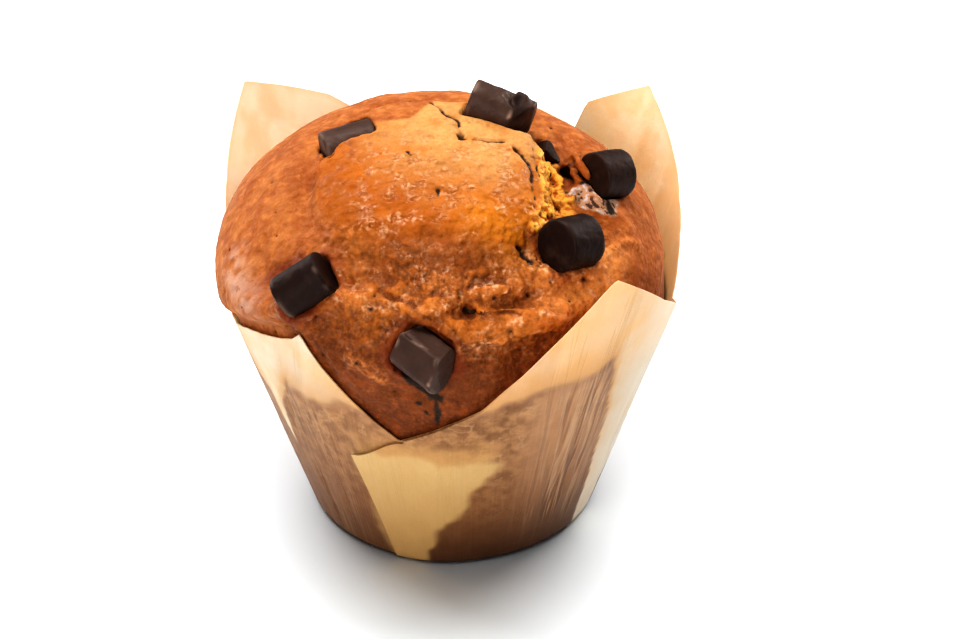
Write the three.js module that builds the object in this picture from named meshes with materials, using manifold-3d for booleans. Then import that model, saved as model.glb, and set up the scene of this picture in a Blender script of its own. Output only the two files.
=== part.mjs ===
// A chocolate-chunk muffin in its paper tulip case.
//
// Units are millimetres and +Z is up. The origin is the centre of the case's
// flat base, on the table. The front, with the case's overlap, looks along -Y.
// Azimuths are in degrees round +Z, from +X.

import * as THREE from 'three';
import { mergeVertices } from 'three/addons/utils/BufferGeometryUtils.js';
import Module from 'manifold-3d';

const wasm = await Module();
wasm.setup();

// ---------------------------------------------------------------- dimensions

const GAP = 0.3; // air between two pieces that touch
const SLIVER = 0.02; // corners closer than this are one corner

// The case: a square sheet pressed into a cup with four upright corners.
const PAPER = 0.5; // the sheet with its pleats pressed flat
const BASE_RADIUS = 25;
const WALL_FLARE = 0.312; // radius gained for each mm of height
const WALL_SEGMENTS = 120;
const WALL_ROWS = 5;

// The sheet's free edge, once round, as [azimuth, height]. Two fold valleys
// and a corner between them make each petal.
const FREE_EDGE = [
  [-180, 39.5], // left valley
  [-160, 41],
  [-150, 43.9],
  [-142, 45.3],
  [-136, 46.6],
  [-131, 48.2],
  [-127.5, 50.4], // front left corner, held down by the cap's lip
  [-124, 45.6],
  [-115, 39.4],
  [-103.5, 32.4], // front valley
  [-93, 36.2],
  [-82.3, 40.6],
  [-74, 47.4],
  [-66, 54.9],
  [-56, 64.7], // front right corner
  [-34.6, 52],
  [-17.3, 43.6],
  [-4, 39], // right valley
  [5, 43],
  [22, 53],
  [40, 62.7], // back right corner
  [56, 56],
  [72, 46.5],
  [88, 39], // back valley
  [104, 47],
  [121.4, 56.9],
  [143, 64.4], // back left corner
  [154.7, 56],
  [164, 49.2],
  [172, 42.5],
  [180, 39.5],
];

// Where the top of the front left petal is pulled in against the cap.
const PULL_AZIMUTH = -132;
const PULL_WIDTH = 16;
const PULL_DEPTH = 2.2;
const PULL_FROM = 1 - 1 / WALL_ROWS; // share of the way up the sheet where it starts to lean in

// The sheet's overlap at the front: an outer layer whose cut edge runs down
// the wall on its left and which runs into the wall on its right.
const FLAP_STEP = 0.6;
const FLAP_TOP_LEFT = -118;
const FLAP_BASE_LEFT = -111.5;
const FLAP_LEFT_HEIGHT = 27;
const FLAP_VALLEY = -102;
const FLAP_VALLEY_HEIGHT = 32.2;
const FLAP_SETBACK = 0.6; // below the sheet's own edge
const FLAP_FOOT = 0.2; // clear of the table
const FLAP_FULL_TO = -92;
const FLAP_RIGHT = -66;
const FLAP_COLUMNS = 17;
const FLAP_ROWS = 4;

// The muffin's cap: a low superellipsoid, a little to the left of the case.
const CAP_X = -1.8;
const RIM_RADIUS_X = 37.5;
const RIM_RADIUS_Y = 37.2;
const RIM_HEIGHT = 45;
const CAP_RISE = 24;
const CAP_POWER = 0.93;
const UNDERCUT_DEPTH = 5; // from the rim down to where the wall takes over
const LEAN_FROM = 1; // height above the paper's edge where the crust starts to lean out over it

// The lip that swelled over the case's front left corner, as [azimuth, reach, lift]:
// how far it pushes the rim out and up.
const LIP = [
  [-175, 0, 0],
  [-162, 0.5, 1.2],
  [-150, 1.6, 3.8],
  [-142, 2.1, 5.2],
  [-136, 2.1, 6.6],
  [-130, 1.8, 8.4],
  [-126.5, 1.3, 8.6],
  [-121, 0.3, 3],
  [-116, 0, 0],
];
const LIP_FROM = 0.74; // share of the way from the crown to the rim where the lip starts
const LIP_UNDERCUT = 3.2;

// The back right of the rim, which rose less.
const SLUMP_AZIMUTH = 30;
const SLUMP_WIDTH = 34;
const SLUMP_REACH = 0.9;

// The glossy inner dome, which rose last and broke away on the right. Places
// on the crust are given about a point deep below the dome: an azimuth, and
// the angle down from straight above that point.
const DOME_X = -3.5;
const DOME_Y = -8;
const DOME_Z = 40;
const DOME_ANGLE = 36; // to the dome's edge on its sides
const DOME_FRONT_ANGLE = 11; // more towards the front
const DOME_LIFT = 1.9;
const GROOVE_DEPTH = 1.2;
const GROOVE_ANGLE = 2.6;
const TEAR_DEPTH = 3.4;
const TEAR_AZIMUTH = 6;
const TEAR_SPREAD = 34;
const TEAR_ANGLE = 15; // from the dome's edge outwards

// The folds in front of the dome, each [azimuths], [angles] at its start, middle and end, and a height.
const FOLDS = [
  { azimuths: [-132, -78], angles: [63, 52, 60], height: 1.3 },
  { azimuths: [-92, -16], angles: [60, 67, 62], height: 1.2 },
  { azimuths: [-118, -88], angles: [53, 49, 54], height: -0.9 },
  { azimuths: [-86, -40], angles: [56, 60, 53], height: -1.4 },
  { azimuths: [-74, -28], angles: [51, 54, 50], height: 1.0 },
  { azimuths: [-140, -104], angles: [47, 49, 45], height: 0.7 },
];
const FOLD_WIDTH = 3.1;

// The crust's wrinkles and lumps.
const WRINKLE_HEIGHT = 0.75;
const WRINKLE_ANGLE = 9;
const WRINKLE_AZIMUTH = -84;
const WRINKLE_SPREAD = 58;
const LUMP_SIZES = [11, 5.5, 3.1];
const LUMP_HEIGHTS = [0.75, 0.55, 0.4];
const SMOOTH_SHARE = 0.35; // of those heights, on the smooth ring and dome
const CALM_FROM = 33; // the relief dies out down the wall
const CALM_FULL = 42;

// Small deep holes in the crust, as places on it with a radius and a depth.
const PITS = [
  { x: 20.3, y: -2.4, radius: 2.3, depth: 2.6 }, // beside the right-hand chunk
  { x: 12.4, y: -25.4, radius: 1.9, depth: 1.6 }, // under the dome's front right edge
  { x: 3.4, y: -32.2, radius: 1.5, depth: 1.7 }, // between the front folds
];

// The torn edge that stands up against the right-hand chunk.
const TEAR_LIP = { x: 22.2, y: -4.6, radius: 2.2, depth: -2.6 };

// The chocolate: short rods, each lying from one point to another. They are
// seven that show from the front, one of them a crumb in the tear, and two behind.
const CHUNKS = {
  chunk_top: { from: [3.1, 6.3, 71.9], to: [12.1, 3.8, 69.2], radius: 3.6, ragged: 1.1 },
  chunk_dome_edge: { from: [-20.6, -1.0, 65.5], to: [-12.4, 1.6, 66.8], radius: 3.9 },
  chunk_right: { from: [22.8, -5.6, 64.2], to: [27.5, -2.0, 62.9], radius: 4.0 },
  chunk_front_right: { from: [16.4, -24.4, 62.7], to: [21.3, -19.8, 61.1], radius: 4.2 },
  chunk_front_left: { from: [-25.9, -28.0, 55.3], to: [-19.0, -27.6, 60.2], radius: 3.6 },
  chunk_front: { from: [-6.6, -34.1, 51.1], to: [-0.8, -40.1, 49.7], radius: 3.7, ragged: 0.4 },
  chunk_crumb: { from: [13.7, 1.4, 65.4], to: [17.0, 2.4, 64.2], radius: 1.8, ragged: 0.8 },
  chunk_back_left: { from: [-10.0, 33.4, 50.0], to: [-1.6, 35.0, 48.6], radius: 4.0 },
  chunk_back_right: { from: [12.8, 31.4, 49.4], to: [19.8, 26.8, 50.8], radius: 4.0 },
};
const CHUNK_SIDES = 18;
const CHUNK_BEVEL = 0.55;

// The net of triangles over the muffin.
const CAP_RINGS = 30;
const UNDERCUT_RINGS = 3;
const BODY_HEIGHTS = [37, 33.5]; // rings where the front shows
const HIDDEN_HEIGHTS = [17];
const HIDDEN_COUNT = 96;
const MUFFIN_BASE = PAPER + GAP;

// ------------------------------------------------------------------ helpers

const radians = THREE.MathUtils.degToRad;
const smooth = THREE.MathUtils.smoothstep;
const lerp = THREE.MathUtils.lerp;

/** Degrees from one azimuth to another, between -180 and 180. */
function turn(from, to) {
  return THREE.MathUtils.euclideanModulo(to - from + 180, 360) - 180;
}

/** A bell of height 1 round an azimuth. */
function bell(azimuth, centre, width) {
  const away = turn(centre, azimuth) / width;
  return Math.exp(-away * away);
}

/** A point at an azimuth, a radius and a height. */
function polar(azimuth, radius, height) {
  const angle = radians(azimuth);
  return new THREE.Vector3(radius * Math.cos(angle), radius * Math.sin(angle), height);
}

/** A repeatable number from 0 to 1 for a lattice point. */
function latticeValue(i, j, k) {
  let hash = Math.imul(i, 374761393) ^ Math.imul(j, 668265263) ^ Math.imul(k, 2147483647);
  hash = Math.imul(hash ^ (hash >>> 13), 1274126177);
  return ((hash ^ (hash >>> 16)) >>> 0) / 4294967295;
}

/** Smooth noise from -1 to 1 with lumps of about the given size. */
function noise(point, size) {
  const [x, y, z] = [point.x / size + 64, point.y / size + 64, point.z / size + 64];
  const [i, j, k] = [Math.floor(x), Math.floor(y), Math.floor(z)];
  const [u, v, w] = [smooth(x - i, 0, 1), smooth(y - j, 0, 1), smooth(z - k, 0, 1)];
  const edge = (b, c) => lerp(latticeValue(i, b, c), latticeValue(i + 1, b, c), u);
  const face = (c) => lerp(edge(j, c), edge(j + 1, c), v);
  return 2 * lerp(face(k), face(k + 1), w) - 1;
}

/** A closed geometry as a solid that can be joined and cut. */
function toSolid(geometry) {
  const bare = geometry.clone();
  bare.deleteAttribute('normal');
  bare.deleteAttribute('uv');
  const merged = mergeVertices(bare, 1e-4);
  const vertProperties = new Float32Array(merged.attributes.position.array);
  const triVerts = new Uint32Array(merged.index.array);
  return new wasm.Manifold(new wasm.Mesh({ numProp: 3, vertProperties, triVerts }));
}

/** A solid as a geometry again, without the slivers that a cut leaves. */
function toGeometry(solid) {
  const mesh = solid.getMesh();
  const cut = new THREE.BufferGeometry();
  cut.setAttribute('position', new THREE.BufferAttribute(new Float32Array(mesh.vertProperties), 3));
  cut.setIndex(new THREE.BufferAttribute(new Uint32Array(mesh.triVerts), 1));
  const geometry = mergeVertices(cut, SLIVER);
  const corners = Array.from(geometry.index.array);
  const triangles = Array.from({ length: corners.length / 3 }, (_, i) => corners.slice(3 * i, 3 * i + 3));
  geometry.setIndex(triangles.filter(([a, b, c]) => a !== b && b !== c && c !== a).flat());
  geometry.computeVertexNormals();
  return geometry;
}

/** A mesh with its own matt or glossy finish. */
function piece(name, geometry, colour, roughness) {
  const material = new THREE.MeshStandardMaterial({ color: colour, roughness, metalness: 0 });
  const mesh = new THREE.Mesh(geometry, material);
  mesh.name = name;
  return mesh;
}

// ----------------------------------------------------------------- the case

/** Height of the sheet's free edge at an azimuth. */
function edgeHeight(azimuth) {
  const at = turn(0, azimuth);
  const next = Math.max(1, FREE_EDGE.findIndex(([a]) => a >= at));
  const [a0, h0] = FREE_EDGE[next - 1];
  const [a1, h1] = FREE_EDGE[next];
  return lerp(h0, h1, (at - a0) / (a1 - a0));
}

/** Radius of the wall's outer face. */
function wallRadius(azimuth, height) {
  const up = Math.max(height / edgeHeight(azimuth), PULL_FROM);
  const pull = PULL_DEPTH * bell(azimuth, PULL_AZIMUTH, PULL_WIDTH) * ((up - PULL_FROM) / (1 - PULL_FROM));
  return BASE_RADIUS + WALL_FLARE * height - pull;
}

/** An azimuth moved onto the nearest point of the free edge, if one is within half a segment. */
function onCorner(azimuth) {
  const reach = 180 / WALL_SEGMENTS;
  const near = FREE_EDGE.find(([corner]) => Math.abs(corner - azimuth) < reach);
  return near ? near[0] : azimuth;
}

/** The cup with its four petals: a turned shell whose rim follows the free edge. */
function makeWall() {
  const inner = [];
  const outer = [];
  for (let row = 0; row <= WALL_ROWS; row++) {
    const share = row / WALL_ROWS;
    inner.push(new THREE.Vector2(1, share));
    outer.push(new THREE.Vector2(2, share));
  }
  const profile = [new THREE.Vector2(0, 0), ...outer, ...inner.reverse(), new THREE.Vector2(0, 1)];
  const rows = profile.length;
  const geometry = new THREE.LatheGeometry(profile, WALL_SEGMENTS);
  const position = geometry.attributes.position;
  for (let i = 0; i < position.count; i++) {
    const row = i % rows;
    const azimuth = onCorner(-180 + (360 * Math.floor(i / rows)) / WALL_SEGMENTS);
    let place = new THREE.Vector3(0, 0, row === 0 ? 0 : PAPER);
    if (row > 0 && row < rows - 1) {
      const { x: layer, y: share } = profile[row];
      const isInner = layer === 1;
      const foot = isInner ? PAPER : 0;
      const height = lerp(foot, edgeHeight(azimuth), share);
      place = polar(azimuth, wallRadius(azimuth, height) - (isInner ? PAPER : 0), height);
    }
    position.setXYZ(i, place.x, place.y, place.z);
  }
  return geometry;
}

/** Height of the overlap's cut edge: free on its left, just under the sheet's edge on its right. */
function flapHeight(azimuth) {
  const free = lerp(FLAP_LEFT_HEIGHT, FLAP_VALLEY_HEIGHT, smooth(azimuth, FLAP_TOP_LEFT, FLAP_VALLEY));
  return azimuth < FLAP_VALLEY ? free : edgeHeight(azimuth) - FLAP_SETBACK;
}

/** The overlap: a block bent round the wall, with its back face inside the paper. */
function makeFlap() {
  const geometry = new THREE.BoxGeometry(1, 1, 1, FLAP_COLUMNS, 1, FLAP_ROWS);
  const position = geometry.attributes.position;
  for (let i = 0; i < position.count; i++) {
    const across = position.getX(i) + 0.5;
    const up = position.getZ(i) + 0.5;
    const isFront = position.getY(i) < 0;
    const left = lerp(FLAP_BASE_LEFT, FLAP_TOP_LEFT, up);
    const azimuth = lerp(left, FLAP_RIGHT, across);
    const height = lerp(FLAP_FOOT, flapHeight(azimuth), up);
    const front = lerp(FLAP_STEP, -PAPER / 4, smooth(azimuth, FLAP_FULL_TO, FLAP_RIGHT));
    const place = polar(azimuth, wallRadius(azimuth, height) + (isFront ? front : -PAPER / 2), height);
    position.setXYZ(i, place.x, place.y, place.z);
  }
  return geometry;
}

// --------------------------------------------------------------- the muffin

/** The cap's outline from its crown to its rim, as shares of radius and rise. */
const capOutline = new THREE.SplineCurve(
  Array.from({ length: 25 }, (_, i) => {
    const angle = (Math.PI / 2) * (1 - i / 24);
    return new THREE.Vector2(
      RIM_RADIUS_X * Math.max(0, Math.cos(angle)) ** CAP_POWER,
      CAP_RISE * Math.max(0, Math.sin(angle)) ** CAP_POWER
    );
  })
);

/** The lip's reach, its lift and its share of the full swelling at an azimuth. */
function lipAt(azimuth) {
  const at = turn(0, azimuth);
  const next = LIP.findIndex(([a]) => a >= at);
  if (next < 1) return { reach: 0, lift: 0, share: 0 };
  const [a0, reach0, lift0] = LIP[next - 1];
  const [a1, reach1, lift1] = LIP[next];
  const along = (at - a0) / (a1 - a0);
  const lift = lerp(lift0, lift1, along);
  return { reach: lerp(reach0, reach1, along), lift, share: smooth(lift, 0, 5) };
}

/** A point of the smooth cap, with share running from 0 at the crown to 1 at the rim. */
function capPoint(azimuth, share) {
  const outline = capOutline.getPointAt(share);
  const { reach, lift } = lipAt(azimuth);
  const swell = smooth(share, LIP_FROM, 1);
  const angle = radians(azimuth);
  const rim = Math.hypot(RIM_RADIUS_X * Math.cos(angle), RIM_RADIUS_Y * Math.sin(angle));
  const slump = SLUMP_REACH * bell(azimuth, SLUMP_AZIMUTH, SLUMP_WIDTH);
  const radius = ((rim - slump) * outline.x) / RIM_RADIUS_X + reach * swell;
  const point = polar(azimuth, radius, RIM_HEIGHT + outline.y + lift * swell);
  point.x += CAP_X;
  return point;
}

/** The largest radius that stays clear of the paper. */
function insideWall(azimuth, height) {
  return wallRadius(azimuth, height) - PAPER - GAP;
}

/** A point of the curve from the rim down and in to the wall. */
function undercutPoint(azimuth, share) {
  const rimPoint = capPoint(azimuth, 1);
  const bearing = THREE.MathUtils.radToDeg(Math.atan2(rimPoint.y, rimPoint.x));
  const reach = Math.hypot(rimPoint.x, rimPoint.y);
  const undercut = lerp(UNDERCUT_DEPTH, LIP_UNDERCUT, lipAt(azimuth).share);
  const foot = Math.min(insideWall(bearing, rimPoint.z - undercut), reach);
  const angle = (share * Math.PI) / 2;
  return polar(bearing, lerp(foot, reach, Math.cos(angle)), rimPoint.z - undercut * Math.sin(angle));
}

/** A ring of points, one for each of count azimuths. */
function ring(count, place) {
  return Array.from({ length: count }, (_, i) => place(-180 + (360 * i) / count));
}

/** Joins rings of points, from the crown down, into one skin with a point at each end. */
function ringSkin(rings) {
  const points = rings.flat();
  const index = [];
  let start = 0;
  for (let r = 0; r + 1 < rings.length; r++) {
    const [here, below] = [rings[r].length, rings[r + 1].length];
    const next = start + here;
    let [i, j] = [0, 0];
    while (i < here || j < below) {
      const a = start + (i % here);
      const b = next + (j % below);
      const belowIsNext = below > 1 && j < below && (j + 1) / below <= (i + 1) / here;
      const stepBelow = here === 1 || i === here || belowIsNext;
      if (stepBelow) {
        index.push(a, b, next + ((j + 1) % below));
        j++;
      } else {
        index.push(a, b, start + ((i + 1) % here));
        i++;
      }
      if (here === 1 && j === below) break;
      if (below === 1 && i === here) break;
    }
    start = next;
  }
  const geometry = new THREE.BufferGeometry().setFromPoints(points);
  geometry.setIndex(index);
  return geometry;
}

/** A point's place on the crust: its azimuth about the dome, its angle and how far past the dome's edge. */
function domePlace(point) {
  const [x, y] = [point.x - DOME_X, point.y - DOME_Y];
  const azimuth = THREE.MathUtils.radToDeg(Math.atan2(y, x));
  const angle = THREE.MathUtils.radToDeg(Math.atan2(Math.hypot(x, y), point.z - DOME_Z));
  const frontward = Math.max(0, -Math.sin(radians(azimuth)));
  const edge = DOME_ANGLE + DOME_FRONT_ANGLE * frontward + 2.2 * noise(point, 9);
  return { azimuth, angle, past: angle - edge };
}

/** The height of one fold at a place: a rounded ridge, or a crease where it is below zero. */
function foldHeight({ azimuths, angles, height }, azimuth, angle) {
  const share = turn(azimuths[0], azimuth) / turn(azimuths[0], azimuths[1]);
  if (share <= 0 || share >= 1) return 0;
  const middle = 2 * angles[1] - (angles[0] + angles[2]) / 2;
  const line = lerp(lerp(angles[0], middle, share), lerp(middle, angles[2], share), share);
  const across = (angle - line) / FOLD_WIDTH;
  return height * Math.sin(Math.PI * share) ** 0.5 * Math.exp(-across * across);
}

/** How far the crust stands out from the smooth form at a point. */
function relief(point) {
  const { azimuth, angle, past } = domePlace(point);
  const front = bell(azimuth, WRINKLE_AZIMUTH, WRINKLE_SPREAD);
  const lift = DOME_LIFT * (1 - smooth(past, lerp(-5, -16, front), 1));
  const groove = -GROOVE_DEPTH * (1 - 0.8 * front) * Math.exp(-(((past - 2) / GROOVE_ANGLE) ** 2));
  const tearSide = bell(azimuth, TEAR_AZIMUTH, TEAR_SPREAD);
  const tearFar = smooth(past, 0.6 * TEAR_ANGLE, 1.3 * TEAR_ANGLE);
  const tearBand = tearSide * smooth(past, -0.5, 2.5) * (1 - tearFar);
  const tear = -TEAR_DEPTH * tearBand * (0.8 + 0.5 * noise(point, 3.4));
  const wandering = angle + 2.5 * noise(point, 7);
  const folds = FOLDS.reduce((sum, fold) => sum + foldHeight(fold, azimuth, wandering), 0);
  const wrinkled = front * smooth(past, -8, 2) * (1 - smooth(past, 20, 30));
  const wave = Math.sin((2 * Math.PI * angle) / WRINKLE_ANGLE + 3 * noise(point, 8));
  const wrinkles = WRINKLE_HEIGHT * wrinkled * wave * (0.6 + 0.6 * noise(point, 6));
  const rough = lerp(SMOOTH_SHARE, 1, Math.max(front * smooth(past, -12, 0), tearBand));
  const lumps = LUMP_SIZES.reduce((sum, size, i) => sum + LUMP_HEIGHTS[i] * noise(point, size), 0);
  const pits = [...PITS, TEAR_LIP].reduce((sum, { x, y, radius, depth }) => {
    const away = Math.hypot(point.x - x, point.y - y) / radius;
    return sum - depth * Math.exp(-away * away);
  }, 0);
  return lift + groove + tear + folds + wrinkles + rough * lumps + pits;
}

/** Keeps a point of the crust inside the paper, and above its edge lets it lean out over it. */
function keepClear(point) {
  const azimuth = THREE.MathUtils.radToDeg(Math.atan2(point.y, point.x));
  const radius = Math.hypot(point.x, point.y);
  const edge = Math.max(...[-1, 0, 1].map((side) => edgeHeight(azimuth + side * (360 / WALL_SEGMENTS))));
  const limit = insideWall(azimuth, point.z) + Math.max(0, point.z - edge - LEAN_FROM);
  if (radius > limit) {
    point.x *= limit / radius;
    point.y *= limit / radius;
  }
}

/** The muffin before its chocolate is pressed in. */
function makeCrust() {
  const rings = [[capPoint(0, 0)]];
  for (let k = 1; k <= CAP_RINGS; k++) {
    rings.push(ring(6 * k, (azimuth) => capPoint(azimuth, k / CAP_RINGS)));
  }
  const rimCount = 6 * CAP_RINGS;
  for (let k = 1; k <= UNDERCUT_RINGS; k++) {
    rings.push(ring(rimCount, (azimuth) => undercutPoint(azimuth, k / UNDERCUT_RINGS)));
  }
  const atHeight = (height) => (azimuth) => polar(azimuth, insideWall(azimuth, height), height);
  BODY_HEIGHTS.forEach((height) => rings.push(ring(rimCount, atHeight(height))));
  const shown = rings.length;
  HIDDEN_HEIGHTS.forEach((height) => rings.push(ring(HIDDEN_COUNT, atHeight(height))));
  rings.push(ring(HIDDEN_COUNT, atHeight(MUFFIN_BASE)));
  rings.push([new THREE.Vector3(0, 0, MUFFIN_BASE)]);
  const geometry = ringSkin(rings);
  geometry.computeVertexNormals();
  const { position, normal } = geometry.attributes;
  const count = rings.slice(0, shown).flat().length;
  const crust = Array.from({ length: count }, (_, i) => {
    const point = new THREE.Vector3().fromBufferAttribute(position, i);
    const out = new THREE.Vector3().fromBufferAttribute(normal, i);
    const fade = smooth(point.z, CALM_FROM, CALM_FULL);
    return point.addScaledVector(out, fade * relief(point));
  });
  crust.forEach((point, i) => {
    keepClear(point);
    position.setXYZ(i, point.x, point.y, point.z);
  });
  return geometry;
}

// ------------------------------------------------------------ the chocolate

/** A rod of chocolate as it lies, grown by a margin where it is to cut its own pocket. */
function makeChunk({ from, to, radius, ragged = 0 }, margin = 0) {
  const start = new THREE.Vector3(...from);
  const axis = new THREE.Vector3(...to).sub(start);
  const length = axis.length();
  const [r, low, high] = [radius + margin, -margin, length + margin];
  const profile = [
    [0, low],
    [r - CHUNK_BEVEL, low],
    [r, low + CHUNK_BEVEL],
    [r, high - CHUNK_BEVEL],
    [r - CHUNK_BEVEL, high],
    [0, high],
  ].map(([x, y]) => new THREE.Vector2(x, y));
  const geometry = new THREE.LatheGeometry(profile, CHUNK_SIDES);
  const position = geometry.attributes.position;
  for (let i = 0; i < position.count; i++) {
    const place = new THREE.Vector3().fromBufferAttribute(position, i);
    const atEnd = smooth(place.y, length * 0.6, length);
    const chip = ragged * atEnd * noise(new THREE.Vector3(place.x, 0, place.z).add(start), radius * 0.9);
    position.setY(i, place.y + chip);
  }
  const lie = new THREE.Quaternion().setFromUnitVectors(new THREE.Vector3(0, 1, 0), axis.normalize());
  return { geometry: toGeometry(toSolid(geometry)), position: start, quaternion: lie };
}

/** The solid that a chunk takes out of the crust. */
function pocket(chunk) {
  const { geometry, position, quaternion } = makeChunk(chunk, GAP);
  const matrix = new THREE.Matrix4().compose(position, quaternion, new THREE.Vector3(1, 1, 1));
  return toSolid(geometry.applyMatrix4(matrix));
}

// -------------------------------------------------------------------- model

const muffin = new THREE.Group();

const pockets = Object.values(CHUNKS).map(pocket);
const crust = pockets.reduce((solid, hole) => solid.subtract(hole), toSolid(makeCrust()));
muffin.add(piece('muffin', toGeometry(crust), 0xc9752f, 0.5));

const paper = toSolid(makeWall()).add(toSolid(makeFlap()));
muffin.add(piece('paper_case', toGeometry(paper), 0xd9b078, 0.7));

Object.entries(CHUNKS).forEach(([name, chunk]) => {
  const { geometry, position, quaternion } = makeChunk(chunk);
  const mesh = piece(name, geometry, 0x33231f, 0.55);
  mesh.position.copy(position);
  mesh.quaternion.copy(quaternion);
  muffin.add(mesh);
});

export default muffin;
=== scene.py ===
# %% [markdown]
# # A chocolate chunk muffin in its paper tulip case
#
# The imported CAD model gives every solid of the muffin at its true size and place: the cake, the folded
# paper case and nine rods of baking chocolate. They are right in form, but plain and coarse. This file
# makes the surfaces that the eye wants: a crust that is glossy here and crumbly there, thin greasy paper,
# and chocolate with soft worn edges. Everything is in metres, in the same frame as the CAD model.

# %% Load the frame
import contextlib
import itertools
import math

import bpy
import numpy as np
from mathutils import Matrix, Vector


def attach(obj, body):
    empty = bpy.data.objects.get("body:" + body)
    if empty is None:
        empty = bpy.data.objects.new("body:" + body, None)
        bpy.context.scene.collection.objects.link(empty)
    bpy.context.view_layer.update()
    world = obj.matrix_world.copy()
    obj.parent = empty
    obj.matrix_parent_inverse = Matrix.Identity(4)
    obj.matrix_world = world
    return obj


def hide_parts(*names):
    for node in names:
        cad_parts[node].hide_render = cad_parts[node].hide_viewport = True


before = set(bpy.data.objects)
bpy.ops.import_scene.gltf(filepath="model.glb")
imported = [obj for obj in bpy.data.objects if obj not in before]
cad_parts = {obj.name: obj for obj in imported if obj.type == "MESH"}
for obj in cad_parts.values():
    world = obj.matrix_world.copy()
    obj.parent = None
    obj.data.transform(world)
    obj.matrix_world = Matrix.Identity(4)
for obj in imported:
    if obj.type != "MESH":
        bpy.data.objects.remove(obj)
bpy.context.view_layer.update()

MM = 0.001

# %% [markdown]
# ## Camera, floor and light
#
# The muffin stands on a white surface in a soft white tent of light. It is seen from in front and
# from about a third of the way up, with a longish lens, so that its upright sides stay nearly parallel.
# Most of the light comes from above and from both sides behind, which makes the paper glow at its edges.
# The floor has lamps of its own, one high above, one on either side and a weak one in front, and the others
# are shaded off from it. So the shadow stays small and close to the foot, while the muffin itself is lit
# from all round.

# %% The camera
CAMERA_ELEVATION = math.radians(33.5)
CAMERA_DISTANCE = 400 * MM
CAMERA_TARGET = Vector((4.65, 0, 33)) * MM
SENSOR_WIDTH = 36
LENS = 88.2

scene = bpy.context.scene
bpy.ops.object.select_all(action="DESELECT")
towards_camera = Vector((0, -math.cos(CAMERA_ELEVATION), math.sin(CAMERA_ELEVATION)))
bpy.ops.object.camera_add(
    location=CAMERA_TARGET + CAMERA_DISTANCE * towards_camera,
    rotation=towards_camera.to_track_quat("Z", "Y").to_euler(),
)
camera = bpy.context.object
camera.name = "camera"
camera.data.lens = LENS
camera.data.sensor_width = SENSOR_WIDTH
camera.data.clip_start = 0.01
scene.camera = camera


# %% Soft lamps round a white floor
def add_lamp(name, place, size, power):
    """A square lamp, turned to shine on the middle of the muffin."""
    place = Vector(place)
    turned = (place - CAMERA_TARGET).to_track_quat("Z", "Y").to_euler()
    bpy.ops.object.light_add(type="AREA", location=place, rotation=turned)
    lamp = bpy.context.object
    lamp.name = name
    lamp.data.size = size
    lamp.data.energy = power
    return lamp


lamps = [
    # place and size in metres, power in watts
    add_lamp("lamp_above", (-0.03, 0.14, 0.78), 0.34, 4.6),
    add_lamp("lamp_front", (-0.24, -0.67, 0.36), 0.3, 3.1),
    add_lamp("lamp_left", (-0.45, 0.42, 0.3), 0.35, 2.0),
    add_lamp("lamp_right", (0.48, 0.4, 0.3), 0.35, 2.5),
]
floor_lamps = [
    add_lamp("floor_lamp_above", (0, 0.05, 0.78), 0.5, 2.4),
    add_lamp("floor_lamp_left", (-0.32, 0.22, 0.72), 0.36, 4.2),
    add_lamp("floor_lamp_right", (0.32, 0.22, 0.72), 0.36, 4.2),
    add_lamp("floor_lamp_front", (0, -0.36, 0.7), 0.36, 0.6),
]

TENT_STRENGTH = 0.1
tent = bpy.data.worlds.new("tent")
tent.use_nodes = True
tent_light = tent.node_tree.nodes["Background"].inputs
tent_light["Color"].default_value = (1, 1, 1, 1)
tent_light["Strength"].default_value = TENT_STRENGTH
scene.world = tent
scene.view_settings.view_transform = "Standard"
scene.view_settings.look = "High Contrast"

bpy.ops.mesh.primitive_plane_add(size=8)
floor = bpy.context.object
floor.name = "floor"


def shade_off(shaded, name, state):
    """Lets lamps leave out the floor, or light nothing else, as cards and flags would in a studio."""
    receivers = bpy.data.collections.new(name)
    receivers.objects.link(floor)
    receivers.collection_objects[0].light_linking.link_state = state
    for lamp in shaded:
        lamp.light_linking.receiver_collection = receivers


shade_off(lamps, "not_the_floor", "EXCLUDE")
shade_off(floor_lamps, "only_the_floor", "INCLUDE")

# %% [markdown]
# ## A small language for materials
#
# A material is a graph of nodes, which soon gets long to write by hand. Two small classes help. `Socket`
# is one output of a node, and it overloads the sums, so that `1 - mask * 0.5` adds Math nodes. `Finish`
# is a material being made. Its method `node` adds any node: its type, then its settings, then what goes
# into its sockets. The other methods are short names for the nodes that come back often, and `coats` lays
# one colour over another as often as it is told.


# %% Sockets that can be added and multiplied
class Socket:
    """One output of a node, for writing shader maths as Python expressions."""

    def __init__(self, finish, output):
        self.finish = finish
        self.output = output

    def math(self, operation, first, second):
        return self.finish.node("ShaderNodeMath", {"operation": operation}, {0: first, 1: second})

    def __add__(self, other):
        return self.math("ADD", self, other)

    def __radd__(self, other):
        return self.math("ADD", other, self)

    def __sub__(self, other):
        return self.math("SUBTRACT", self, other)

    def __rsub__(self, other):
        return self.math("SUBTRACT", other, self)

    def __mul__(self, other):
        return self.math("MULTIPLY", self, other)

    def __rmul__(self, other):
        return self.math("MULTIPLY", other, self)

    def veins(self, count, width, shift=0.0):
        """1 along the lines where count times the value, plus shift, is even, fading over width."""
        return self.finish.ramp(self.math("PINGPONG", self * count + shift, 1), width, 0)


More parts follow.
